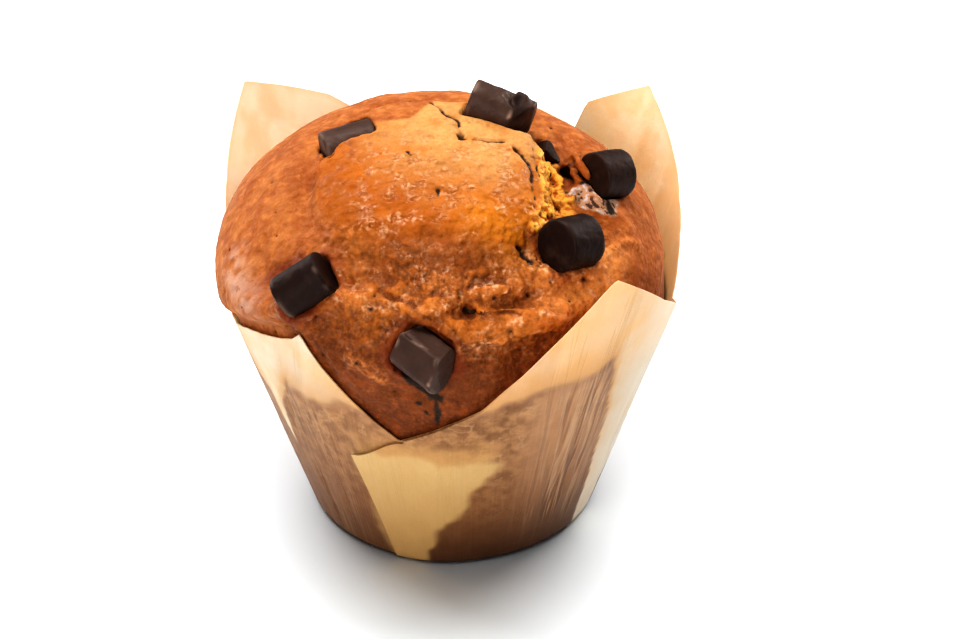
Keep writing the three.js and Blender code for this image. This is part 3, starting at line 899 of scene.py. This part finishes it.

# %% [markdown]
# The crust's colours follow how it baked, and some of them are painted light and shade. Their masks are
# painted on the mesh, because they follow the same lines as the relief. On the dome there are the gold of
# its middle, partly painted light on its top, and a sunny patch beside the tear. The front is a darker
# bake, with painted light along its folds and on its right-hand ridges, and umber low down with painted
# shade in its hollows. Then come the shine of wet sugar with painted glints, painted shade in the dark red
# gaps round three rods, a painted greyish sheen on the far left lip, the bare crumb, painted shade in cracks
# and pores, the smears and pools that melted chocolate left, with a painted shadow under the lowest rod and
# a painted sheen on the pool, and the height of the relief itself. For the height, the skin is compared with
# a much smoother copy of itself.

# %% Height of the relief
LEVELLING = 50
level = copy_of(crust, "level")
apply(level, "SMOOTH", factor=0.5, iterations=LEVELLING)
relief = ((points_of(crust) - points_of(level)) * normals_of(level)).sum(axis=1)
bpy.data.objects.remove(level)

# %% Lines of colour
SMEARS = [
    # where melted chocolate rubbed off, and a painted shadow under the lowest rod's lower edge:
    # points over the crust and half width, in mm
    ([(22.2, -5.4, 63), (24.4, -3.4, 60.6)], 0.7),
    ([(23.6, -6.2, 62), (25, -9, 61.2), (25.6, -10.8, 60.4)], 0.9),
    ([(21.2, -5.6, 62.6), (22.4, -6.4, 62.4)], 0.5),
    ([(-7.7, -36.7, 48.8), (-5.6, -37, 46.4), (-3.3, -36.9, 43.8), (-2, -36.9, 42.6)], 1.1),
    ([(-2.2, -36.9, 42.1), (-1.9, -36.6, 40), (-2.1, -35.7, 37)], 0.5),
    ([(-3.8, -36.3, 39.8), (-3.5, -36.2, 39.3)], 0.45),
    ([(-5, -36.7, 41.6), (-4.7, -36.7, 41.3)], 0.4),
    ([(13.6, 4.6, 65.6), (15.0, 3.8, 64.6)], 0.7),
]
MELTED = [
    # where it pooled and set, with a painted pale sheen on it: points over the crust and half width, in mm
    ([(19.6, -7.6, 62.4), (22.6, -6.8, 62.4), (25.4, -8.8, 61.2)], 2.0),
    ([(20.6, -9.2, 62), (23.4, -10.2, 61.3), (25.2, -10.4, 60.8)], 1.6),
]
UMBER = [
    # darker, redder ground low on the front, and painted shade in the hollow by the tear, under the dome's
    # foot and under the lowest rod
    ([(-20, -32, 50), (-14, -34.9, 45), (-6, -37, 40)], 7.0),
    ([(6, -37, 46), (14, -35, 47)], 5.0),
    ([(18.6, 1, 61), (20.4, -3.6, 62), (21.6, -0.6, 62)], 1.8),
    ([(10, -23.4, 62.6), (12, -22.8, 61.6)], 1.6),
    ([(-9, -36.6, 45), (-3, -37, 42), (3, -37, 43)], 3.2),
]
LIT = [
    # painted light, lighter and more golden: along the folds, right of the lowest rod,
    # and low on the dome at the left
    (
        [
            (-22, -26, 57),
            (-12, -31.5, 56.5),
            (0, -33, 56),
            (10, -31, 56.5),
            (20, -25, 57.5),
            (28, -15.5, 57.2),
        ],
        5.5,
    ),
    ([(8, -34.5, 53), (14, -30.5, 55), (20, -25.5, 56), (25, -20.5, 56)], 3.5),
    ([(-20, -20, 62.5), (-14, -25, 62.6)], 4.5),
]
SUNNY = [(5, -21.5, 66), (9.5, -22.5, 64), (14, -20.5, 62.6), (14.5, -17, 65)]
# painted light on the ridges right of chunk_front_right
BLOND = [(16, -28, 56.5), (19.5, -26.5, 56), (23.4, -23.7, 56.2), (25.6, -19.6, 57.2)]
# a painted greyish sheen on the far left lip
ASHEN = [(-35.1, -13.9, 53.2), (-34, -20.2, 52), (-32.1, -24.6, 51.8)]
# the dome's foot left of the tear, which keeps the dome's colour
DOME_FOOT = [(7.5, -22.2, 65.6), (11.5, -19.5, 65.4)]
# x of places along the dome's back edge, and how far back it lies there, in mm
BACK_EDGE = [(-30, -6), (-12.4, 1.2), (-6.9, 2.4), (-3.2, 7.2), (-0.5, 15.2), (2, 26)]
# painted shade in the dark red gap round three rods, and along the upper side of chunk_front_left
RIM_RODS = ("chunk_front_left", "chunk_front", "chunk_front_right")
RIM_LINE = [(-28.6, -21.5, 55.3), (-26, -21.8, 57.3), (-23.4, -22, 59.2)]

# %% Masks of colour, and of painted light and shade
x, y, z = home.T
# golden at the top of the dome, partly a golden bake and partly painted light on its top
gold = ease(np.linalg.norm(home - [3, 1, 70], axis=1) + 2.5 * lumps(home, 4), 24, 5)
dome = ease(past + 2 * lumps(home, 2.2), 1.5 - 9 * front, -0.8 - 15 * front)
dome *= ease(y - read_off(x, BACK_EDGE) + 0.8 * lumps(home, 3), 0.8, -0.6)
dome = np.maximum(dome, groove(home, DOME_FOOT, 3.4))
# painted shade: the right flank is darker, as it lies away from the light
flank = bell(azimuth, -22, 42) * ease(past, 3, 14)
# darker and redder low on the front, with painted shade in hollows, under the dome's foot and under a rod
umber = np.maximum(painted_lines(home, UMBER), front * ease(z, 51, 44))
# the darker front bake, which takes in that painted shade
bake = front * ease(past + 3 * lumps(home, 3), -18, -3) * (1 - groove(home, DOME_FOOT, 3.4))
bake = np.clip(bake + 0.8 * umber + 0.3 * ease(z, 50, 38), 0, 1) + 0.15 * lumps(home, 4)
wet = ease(past, 2, -2) * ease(y, 2, -8) * (0.3 + 0.7 * ease(x + lumps(home, 3), -19, -12))
wet = np.maximum(wet, grainy * (0.2 + 0.8 * ease(z, 44, 53)))
# painted shade in the dark red gap round three rods
near_rim = np.min([rod_distance(home, node) for node in RIM_RODS], axis=0) + 0.5 * lumps(home, 1.6)
rim = np.maximum(hump(near_rim, 0.5, 1.1), groove(home, RIM_LINE, 0.9))
# a painted greyish sheen on the far left lip
ashen = groove(home, ASHEN, 3) * ease(lumps(home, 1.4), -0.6, 0.3)
# smears, with a painted shadow under the lowest rod
smear = ease(painted_lines(home, SMEARS) + 0.4 * lumps(home, 1.1), 0.35, 0.75)
# the pool of melted chocolate, with a painted pale sheen
melted = ease(painted_lines(home, MELTED) + 0.3 * lumps(home, 1.5), 0.4, 0.7)

# %% Paint them, and thin out what is seen least
paint(crust, dome=dome, gold=gold, bake=bake, umber=umber, crumb=torn, flank=flank, wet=wet)
paint(crust, ridge=painted_lines(home, RIDGES), lit=painted_lines(home, LIT))
paint(crust, sunny=groove(home, SUNNY, 3.8), blond=groove(home, BLOND, 3), rim=rim, ashen=ashen)
paint(crust, dark=np.maximum(dark, 0.8 * pores), smear=smear, melted=melted, height=0.5 + relief / 1.2)

CRUST_TRIANGLES = 190000
BACK_SHARE = 0.45
thin_out(crust, (y > 10) & (z > HIDDEN_BELOW), BACK_SHARE)
triangles = 2 * len(crust.data.vertices)
if triangles > CRUST_TRIANGLES:
    thin_out(crust, points_of(crust)[:, 2] > HIDDEN_BELOW, CRUST_TRIANGLES / triangles)

# %% [markdown]
# ### The crust's finish
#
# The crust is coloured in coats, mostly in the order in which baking lays them down, with painted light
# and shade among them: the orange ring, the golden dome, the brown front, then specks and the painted shade
# round rods, and the painted shade of cracks and the smears over all. Sugar leaves the dome and the tops of
# the lumps smoother than the rest, and small bumps break that gloss into sparkles; glints are painted on too.
# A flat pattern wrapped round the cake would be quicker, but it smears where the crust folds.


# %% Make the crust's finish
def make_crust_finish():
    """Baked cake crust, coloured by the masks that are painted on it."""
    finish = Finish("baked_crust")
    dome, gold, crumb, height = finish.all_painted("dome", "gold", "crumb", "height")
    wet, bake, ridge, flank = finish.all_painted("wet", "bake", "ridge", "flank")
    cloud = finish.noise(5, 4)
    patch = finish.noise(2.4, 3)
    flecks = finish.noise(1.6, 4)
    mottle = finish.noise(1.2, 2)
    speckle = finish.noise(1.1, 3)
    speck = finish.noise(0.6, 2)
    # high ground, its upper half, and only its tips, where painted light goes
    hill = finish.ramp(height + 0.35 * (speckle - 0.5), 0.35, 0.75)
    upper = finish.ramp(height + 0.5 * speckle, 0.55, 1)
    tips = finish.ramp(speckle + speck + 0.5 * height, 1.05, 1.8)

    ring = finish.coats(
        tint(150, 78, 28),
        (finish.ramp(cloud, 0.3, 0.7), tint(178, 108, 50)),
        # painted shade on the right flank
        (flank * 0.8, tint(154, 76, 14)),
        (finish.ramp(speckle, 0.5, 0.66) * 0.4, tint(214, 134, 84)),
    )
    golden = finish.coats(
        tint(170, 90, 6),
        # golden at the top, partly painted light
        (gold, tint(206, 154, 94)),
        (finish.ramp(cloud, 0.45, 0.7) * 0.55, tint(190, 106, 16)),
        (finish.ramp(patch, 0.5, 0.68) * (0.5 - 0.35 * gold), tint(128, 58, 4)),
    )
    brown = finish.coats(
        tint(82, 36, 4),
        # painted light and shade: lighter on high ground, darker in the valleys
        (hill, tint(142, 72, 10)),
        # umber, partly painted shade
        (finish.painted("umber") * 0.75, tint(96, 43, 14)),
        # painted light along the folds, lighter still on high ground
        (finish.painted("lit") * 0.85, finish.mix(hill, tint(120, 62, 16), tint(198, 118, 38))),
    )
    bare = finish.mix(finish.ramp(speckle + 0.3 * height, 0.5, 0.75), tint(176, 88, 12), tint(240, 176, 74))
    # melted chocolate, dark and tan, with a painted pale sheen on it
    smudge = finish.coats(
        tint(60, 48, 50),
        (finish.ramp(mottle, 0.4, 0.46), tint(184, 140, 108)),
        (finish.ramp(mottle, 0.55, 0.63), tint(204, 190, 186)),
    )
    colour = finish.coats(
        ring,
        (dome, golden),
        (bake, brown),
        (finish.painted("sunny") * 0.8, tint(202, 122, 14)),
        # lighter specks, mostly painted light on small wet lumps, and patches of darker brown
        (finish.ramp(speck, 0.4, 0.75) * (0.06 + 0.22 * bake * wet), tint(204, 112, 40)),
        (finish.ramp(patch, 0.5, 0.72) * bake * (0.5 - 0.3 * wet), tint(158, 76, 22)),
        # dark and light flecks on the ring
        (finish.ramp(flecks, 0.5, 0.7) * (0.5 - 0.4 * dome) * (1 - 0.6 * bake), tint(146, 70, 16)),
        (finish.ramp(flecks, 0.48, 0.34) * (0.35 - 0.3 * dome) * (1 - bake), tint(214, 136, 72)),
        # painted light on those ridges, strongest on their upper halves
        (finish.painted("blond") * (0.3 + 0.5 * upper), tint(236, 158, 84)),
        # the painted greyish sheen
        (finish.painted("ashen") * 0.5, tint(208, 172, 152)),
        # painted shade in the gaps round three rods
        (finish.painted("rim") * 0.75, tint(104, 32, 11)),
        # painted highlights on the tips of the folds
        (ridge * (0.1 + tips) * 0.8, tint(216, 138, 80)),
        (crumb, bare),
        # freckles, then painted shade in the valleys, cracks and pores
        (finish.ramp(speckle, 0.58, 0.7) * (1 - dome * 0.5) * 0.4, tint(118, 54, 16)),
        (finish.ramp(height, 0.45, 0.1) * (0.4 - 0.1 * crumb), tint(80, 32, 8)),
        (finish.ramp(finish.painted("dark"), 0.35, 0.8), tint(44, 20, 12)),
        # the pool, with its painted pale sheen
        (finish.painted("melted") * 0.9, smudge),
        # smears, and the painted shadow under the lowest rod
        (finish.painted("smear"), tint(28, 14, 11)),
    )
    # painted glints on the wet sugar and on the tips of the folds
    spark = wet * finish.ramp(finish.noise(0.9, 1), 0.48, 0.74) * finish.ramp(patch, 0.44, 0.6)
    colour = finish.mix(spark * (0.1 + 0.2 * dome + 0.5 * ridge), colour, tint(255, 204, 160))

    sugared = wet * finish.ramp(patch, 0.42, 0.64)
    ripple = finish.bump(finish.noise(2, 1) * (0.6 + 0.4 * wet), 1.2)
    inputs = {
        "Base Color": colour,
        "Roughness": 0.72 - 0.42 * sugared + 0.1 * speckle + 0.15 * flank,
        "Specular IOR Level": 0.44,
        "Specular Tint": tint(255, 232, 204),
        "Normal": finish.bump(finish.noise(0.5, 1), 0.15, ripple),
        "Subsurface Weight": 0.12,
        "Subsurface Radius": (1.0, 0.4, 0.15),
        "Subsurface Scale": 1.2 * MM,
    }
    return finish.done(finish.principled(inputs))


only(crust)
bpy.ops.object.shade_smooth()
hand_over(crust, make_crust_finish(), "crust", "muffin")

# %% [markdown]
# ## The paper case
#
# The case is a square sheet of baking paper that was pressed into a cup, so its four corners stand up as
# petals, and what was too much between them is folded over. The wall is a flat grid, and every point of it
# is put where the cup has it. A circle closes the base, and Solidify gives the sheet its thickness. The
# overlap at the front is a second layer, made from a grid in the same way and joined to it. Cloth would
# crumple more truly, but it would also drift away from the solid.

# %% The sheet's form
BASE_RADIUS = 25
WALL_FLARE = 0.312
FOOT_ROUND = 1.6
SHEET = 0.2
INSET = 0.05
SEAM = 0.02 * MM
COLUMNS = 440
ROWS = 84
FREE_EDGE = [
    # azimuth in degrees, height in mm: valleys and corners of the sheet's edge, from the left valley round
    (-180, 39.5), (-160, 41), (-150, 43.9), (-142, 45.3), (-136, 46.6), (-131, 48.2), (-127.5, 50.4),
    (-124, 45.6), (-115, 39.4), (-103.5, 32.4), (-93, 36.2), (-82.3, 40.6), (-74, 47.4), (-66, 54.9),
    (-56, 64.7), (-34.6, 52), (-17.3, 43.6), (-4, 39), (5, 43), (22, 53), (40, 62.7), (56, 56),
    (58.5, 50.3), (72, 45.3), (88, 39), (104, 47), (121.4, 56.9), (143, 64.4), (154.7, 56),
    (164, 49.2), (172, 42.5), (180, 39.5),
]
# the front left petal is drawn in, from the share PULL_FROM of its height up to PULL_DEPTH at its edge
PULL_AZIMUTH = -132
PULL_WIDTH = 16
PULL_DEPTH = 2.2
PULL_FROM = 0.8


def edge_height(azimuth):
    """Height of the sheet's free edge at an azimuth."""
    return read_off(turn(azimuth), FREE_EDGE)


def wall_radius(azimuth, height):
    """Radius of the wall's outer face."""
    up = np.maximum(height / edge_height(azimuth), PULL_FROM)
    pull = PULL_DEPTH * bell(azimuth, PULL_AZIMUTH, PULL_WIDTH) * (up - PULL_FROM) / (1 - PULL_FROM)
    return BASE_RADIUS + WALL_FLARE * height - pull


def foot_inset(height):
    """How far the rounded foot lies inside the cone, near the floor."""
    down = np.clip(1 - height / FOOT_ROUND, 0, 1)
    return FOOT_ROUND * (1 - np.sqrt(1 - down**2))


def on_cone(azimuth, height, radius):
    """Places in mm from an azimuth, a height and a radius."""
    turned = np.radians(azimuth)
    return np.stack([radius * np.cos(turned), radius * np.sin(turned), height], axis=1)


# %% Creases
WAVE_STRETCH = 0.2
SMALL_CREASES = 46
SMALL_CREASE_WIDTH = 0.45
rng = np.random.default_rng(7)
CREASES = [
    # azimuth and height of both ends, half width in mm, depth in mm
    ((-135, 41), (-144, 20), 0.5, 0.35),
    ((-46.5, 44), (-41, 12), 0.5, 0.3),
    ((-52, 42), (-46, 8), 0.35, 0.3),
    ((-56, 42), (-50, 12), 0.35, 0.25),
    ((-60, 40), (-55, 6), 0.4, 0.3),
    ((-64, 38), (-58, 10), 0.35, 0.2),
    ((-33, 52), (-48, 43), 0.9, 0.35),
    ((-120, 34), (-128, 10), 0.4, 0.2),
    ((-126, 38), (-134, 14), 0.35, 0.2),
]
# small creases on the back and the sides; those on the front are listed above
for start in rng.uniform(-30, 220, SMALL_CREASES):
    top = edge_height(start) * rng.uniform(0.6, 1.0)
    lean = rng.uniform(-6, 6)
    low = rng.uniform(2, 20)
    depth = rng.uniform(0.08, 0.28)
    CREASES.append(((start, top), (start + lean, low), SMALL_CREASE_WIDTH, depth))


def crumple(azimuth, height):
    """How far creases and waves push the sheet in, in mm."""
    radius = BASE_RADIUS + WALL_FLARE * height
    depth = np.zeros(len(azimuth))
    for (top_azimuth, top), (low_azimuth, low), width, strength in CREASES:
        share = np.clip((height - low) / (top - low), 0, 1)
        line = low_azimuth + share * (top_azimuth - low_azimuth)
        away = np.radians(turn(azimuth - line)) * radius
        ends = ease(height, low - 3, low + 3) * ease(height, top + 3, top - 3)
        depth += strength * ends * np.exp(-np.abs(away) / width)
    upright = on_cone(azimuth, WAVE_STRETCH * height, radius)
    waves = 0.16 * lumps(upright, 3) + 0.1 * lumps(upright, 1.3)
    return np.maximum(0, depth + waves) * ease(height, 0, 6)


# %% The wall, from a grid, and the base, from a circle
def add_grid(name, columns, rows):
    """A flat grid, and for each of its points the share of the way across and up."""
    bpy.ops.mesh.primitive_grid_add(x_subdivisions=columns, y_subdivisions=rows, size=1)
    grid = bpy.context.object
    grid.name = name
    across, up, _ = (points_of(grid) * MM + 0.5).T
    return grid, across, up


def join(piece, other):
    """Makes another piece a part of this one."""
    only(piece)
    other.select_set(True)
    bpy.ops.object.join()


paper, across, up = add_grid("paper", COLUMNS, ROWS)
azimuth = 360 * across - 180
height = up * edge_height(azimuth)
radius = wall_radius(azimuth, height) - INSET - crumple(azimuth, height) - foot_inset(height)
move_points(paper, on_cone(azimuth, height, radius))

base_radius = (BASE_RADIUS - INSET - FOOT_ROUND) * MM
bpy.ops.mesh.primitive_circle_add(vertices=COLUMNS, radius=base_radius, fill_type="TRIFAN")
base = bpy.context.object
with editing(base):
    bpy.ops.mesh.flip_normals()
join(paper, base)
with editing(paper):
    bpy.ops.mesh.remove_doubles(threshold=SEAM)

# %% The overlap, from a grid
# azimuths in degrees, heights and distances in mm
FLAP_TOP_LEFT = -118
FLAP_BASE_LEFT = -111.5
FLAP_LEFT_HEIGHT = 27
FLAP_VALLEY = -102
FLAP_VALLEY_HEIGHT = 32.2
FLAP_RIGHT = -66
FLAP_BOTTOM = 0.2
FLAP_STAND_OFF = 0.5
FLAP_INSET = 0.15

flap, across, up = add_grid("flap", 130, 80)
left = FLAP_BASE_LEFT + up * (FLAP_TOP_LEFT - FLAP_BASE_LEFT)
azimuth = left + across * (FLAP_RIGHT - left)
climb = ease(azimuth, FLAP_TOP_LEFT, FLAP_VALLEY)
free_edge = FLAP_LEFT_HEIGHT + (FLAP_VALLEY_HEIGHT - FLAP_LEFT_HEIGHT) * climb
top = np.where(azimuth < FLAP_VALLEY, free_edge, edge_height(azimuth) - 0.1)
height = FLAP_BOTTOM + up * (top - FLAP_BOTTOM)
stand_off = FLAP_STAND_OFF * (ease(azimuth, FLAP_RIGHT, -100) + ease(across, 0.3, 0) * up)
radius = wall_radius(azimuth, height) - FLAP_INSET + stand_off
radius -= 0.4 * crumple(azimuth, height) + foot_inset(height)
move_points(flap, on_cone(azimuth, height, radius))

join(paper, flap)
apply(paper, "SOLIDIFY", thickness=SHEET * MM, offset=-1)
bpy.ops.object.shade_smooth()
bpy.ops.object.shade_smooth_by_angle(angle=math.radians(50))

# %% [markdown]
# ### Stains
#
# Butter soaks into the paper wherever it touches the cake, and turns it brown and dull. The petals above
# the stain's edge stay pale, apart from a little oil that seeps up and along their rims. The overlap was
# held off the cake by the layer under it, so it kept a pale triangle with an olive edge. The stain's edge is
# a line of a few points, made to wander with noise.

# %% Edges of the stain and of its pale patch
STAIN_EDGE = [
    # azimuth in degrees, height in mm of the upper edge of the stain
    (-180, 36), (-160, 37), (-150, 30), (-146, 20), (-143, 30), (-137, 37.4), (-129, 37), (-123, 38),
    (-114, 38), (-109.5, 37.8), (-103, 40), (-90, 44), (-84, 40.5), (-76, 41.4), (-68, 43.4),
    (-53, 43.6), (-48.5, 44.2), (-46.4, 41), (-42.6, 28), (-39.2, 14), (-36.6, 2), (-34.6, -3), (-24, -3),
    (-20, 12), (-12, 34), (0, 37), (20, 41), (38, 44), (46, 30), (50, 42), (70, 40), (90, 37),
    (110, 41), (128, 40), (136, 18), (142, 26), (150, 40), (166, 38), (180, 36),
]
PATCH_CORNERS = [
    # azimuth in degrees, height in mm
    (-121, 30.5), (-97, 28.6), (-84.4, 28.4), (-73.5, 28), (-85.2, 16.8), (-100.8, 1.5), (-113, -1),
]
PATCH_RADIUS = 30


def inside_patch(azimuth, height):
    """How far inside the pale patch a place is, in mm, from straight sides between its corners."""
    inside = np.full(len(azimuth), np.inf)
    corners = [(math.radians(a) * PATCH_RADIUS, z) for a, z in PATCH_CORNERS]
    x, y = np.radians(azimuth) * PATCH_RADIUS, height
    for (x0, y0), (x1, y1) in zip(corners, corners[1:] + corners[:1]):
        length = math.hypot(x1 - x0, y1 - y0)
        inside = np.minimum(inside, -((x1 - x0) * (y - y0) - (y1 - y0) * (x - x0)) / length)
    return inside


# %% Masks of the stains
points = points_of(paper)
x, y, height = points.T
radius = np.hypot(x, y)
azimuth = np.degrees(np.arctan2(y, x))
wander = 1.3 * lumps(points, 5) + 0.7 * lumps(points, 1.8)
# the stain, the pale patch on the overlap and the patch's olive edge
stain_top = read_off(azimuth, STAIN_EDGE)
stain = ease(stain_top - height + wander, -0.8, 1.0)
on_flap = ease(radius - wall_radius(azimuth, height) + foot_inset(height), -0.15, 0.05)
on_flap *= (azimuth > FLAP_TOP_LEFT - 1) & (azimuth < FLAP_RIGHT)
patch = ease(inside_patch(azimuth, height) + 1.2 * wander, -0.9, 1.1) * on_flap
olive = ease(inside_patch(azimuth, height - 4) + wander, -2, 3) * on_flap * ease(azimuth, -72, -80)
# darker lower down, with painted shade darkest at the foot of the front, redder on the right,
# and creased at both sides of the front
soaked = ease(height, 38, 4)
foot = ease(height, 19, -2) * bell(azimuth, -78, 60)
rosy = ease(azimuth, -76, -64) * ease(azimuth, 30, -10) + 0.2 * (azimuth < -104)
creased = 0.08 + bell(azimuth, -53, 10) * ease(height, 2, 12) + 0.35 * bell(azimuth, -134, 14)
# a dark line at the stain's edge, and oil that seeped up above it
tide = hump(stain_top - height + wander, 0.5, 0.9) * (1 - patch)
seep = hump(np.maximum(height - stain_top - wander, 0), 0, 5) * ease(height, 24, 34)
# the petals: greasy in front, with a painted glow where most light falls through,
# oily in spots and along the back rims
greasy = ease(azimuth, -25, -60) * ease(azimuth, -126, -108)
greasy = np.maximum(greasy, 0.6 * bell(azimuth, 12, 16))
airy = ease(y, -4, 10) * ease(x, 20, -4)
airy = np.maximum(airy, 1.2 * ease(azimuth, -46, -34) * ease(azimuth, 12, -12))
oily = ease(lumps(points * [1, 1, 0.4], 4) + 0.4 * lumps(points, 1.5), 0.05, 0.5) * ease(y, -4, 8)
oily = np.maximum(oily, ease(edge_height(azimuth) - height, 1.0, 0.2) * ease(y, -6, 6))
paint(paper, stain=stain, patch=patch, olive=olive, soaked=soaked, foot=foot, rosy=rosy)
paint(paper, creased=creased, tide=tide, seep=seep, greasy=greasy, airy=airy, oily=oily)

# %% [markdown]
# ### The paper's finish
#
# Greaseproof paper lets light through where it is clean, and less where butter fills its fibres. So a
# Principled surface is mixed with a translucent one, and the stain sets how much; a painted glow adds to it
# where most light falls through. Streaks run up the wall where the sheet was drawn through its mould, and
# thin veins of noise paint the light and shade of the finest creases, which would take far more faces as a
# shape. The front is painted darker at its foot, as shade.


# %% Make the paper's finish
def make_paper_finish():
    """Greaseproof paper: thin enough to glow, pale where clean, brown where butter has soaked in."""
    finish = Finish("baking_paper")
    stain, soaked, creased = finish.all_painted("stain", "soaked", "creased")
    streak = finish.around(3, 3, 2.4)
    crinkle = finish.around(0.9, 1, 30)
    # painted shade and painted highlights along the finest creases
    crease = crinkle.veins(5, 0.3) * creased
    shine = crinkle.veins(7, 0.34, 0.4) * creased
    swirl = finish.noise(4, 4)
    fibre = finish.noise(0.4, 3)
    worked = 0.25 * streak + 0.75 * finish.noise(2.2, 5)

    clean = finish.coats(
        tint(253, 240, 218),
        (finish.ramp(finish.noise(6, 3), 0.35, 0.7), tint(250, 222, 178)),
        # a painted glow where most light falls through
        (finish.painted("airy") * 0.6, tint(255, 248, 236)),
        (finish.painted("greasy") * 0.6, tint(238, 186, 124)),
        (finish.painted("seep") * 0.65, tint(226, 170, 104)),
        (finish.painted("oily") * 0.35, tint(246, 196, 132)),
    )
    stained = finish.coats(
        tint(134, 90, 52),
        (finish.ramp(worked, 0.38, 0.62), tint(182, 134, 88)),
        # painted light and shade of the crumpled fibres: pale veins and dark folds
        (swirl.veins(5, 0.16) * 0.4, tint(212, 170, 126)),
        (swirl.veins(6, 0.2, 0.5) * 0.35, tint(116, 76, 46)),
        (finish.painted("rosy") * 0.8, tint(186, 138, 98)),
        (soaked * 0.85, tint(122, 76, 38)),
        (finish.painted("olive") * 0.8, tint(204, 156, 98)),
        # painted shade at the foot of the front
        (finish.painted("foot"), tint(76, 44, 22)),
    )
    pale = finish.mix(streak, tint(206, 168, 112), tint(222, 188, 132))
    pale = finish.mix(0.6 * soaked, pale, tint(168, 124, 66))
    colour = finish.coats(
        clean,
        (stain, stained),
        (finish.painted("patch"), pale),
        (finish.painted("tide") * 0.4, tint(140, 92, 70)),
        # painted highlights and painted shade along the creases
        (shine * 0.42 * stain, tint(222, 184, 146)),
        (crease * (0.05 + 0.5 * stain), tint(92, 56, 40)),
        (0.12 * fibre, tint(120, 80, 50)),
    )
    inputs = {
        "Base Color": colour,
        "Roughness": 0.62 - 0.2 * stain + 0.1 * fibre,
        "Normal": finish.bump(fibre, 0.03, finish.bump(1 - crease, 0.12, finish.bump(worked, 0.2))),
        "Specular IOR Level": 0.35,
    }
    glow = finish.node("ShaderNodeBsdfTranslucent", {}, {"Color": tint(252, 232, 196)})
    glowing = 0.36 - 0.26 * stain
    surface = finish.principled(inputs)
    return finish.done(finish.node("ShaderNodeMixShader", {}, {0: glowing, 1: surface, 2: glow}))


hand_over(paper, make_paper_finish(), "baking_paper", "paper_case")
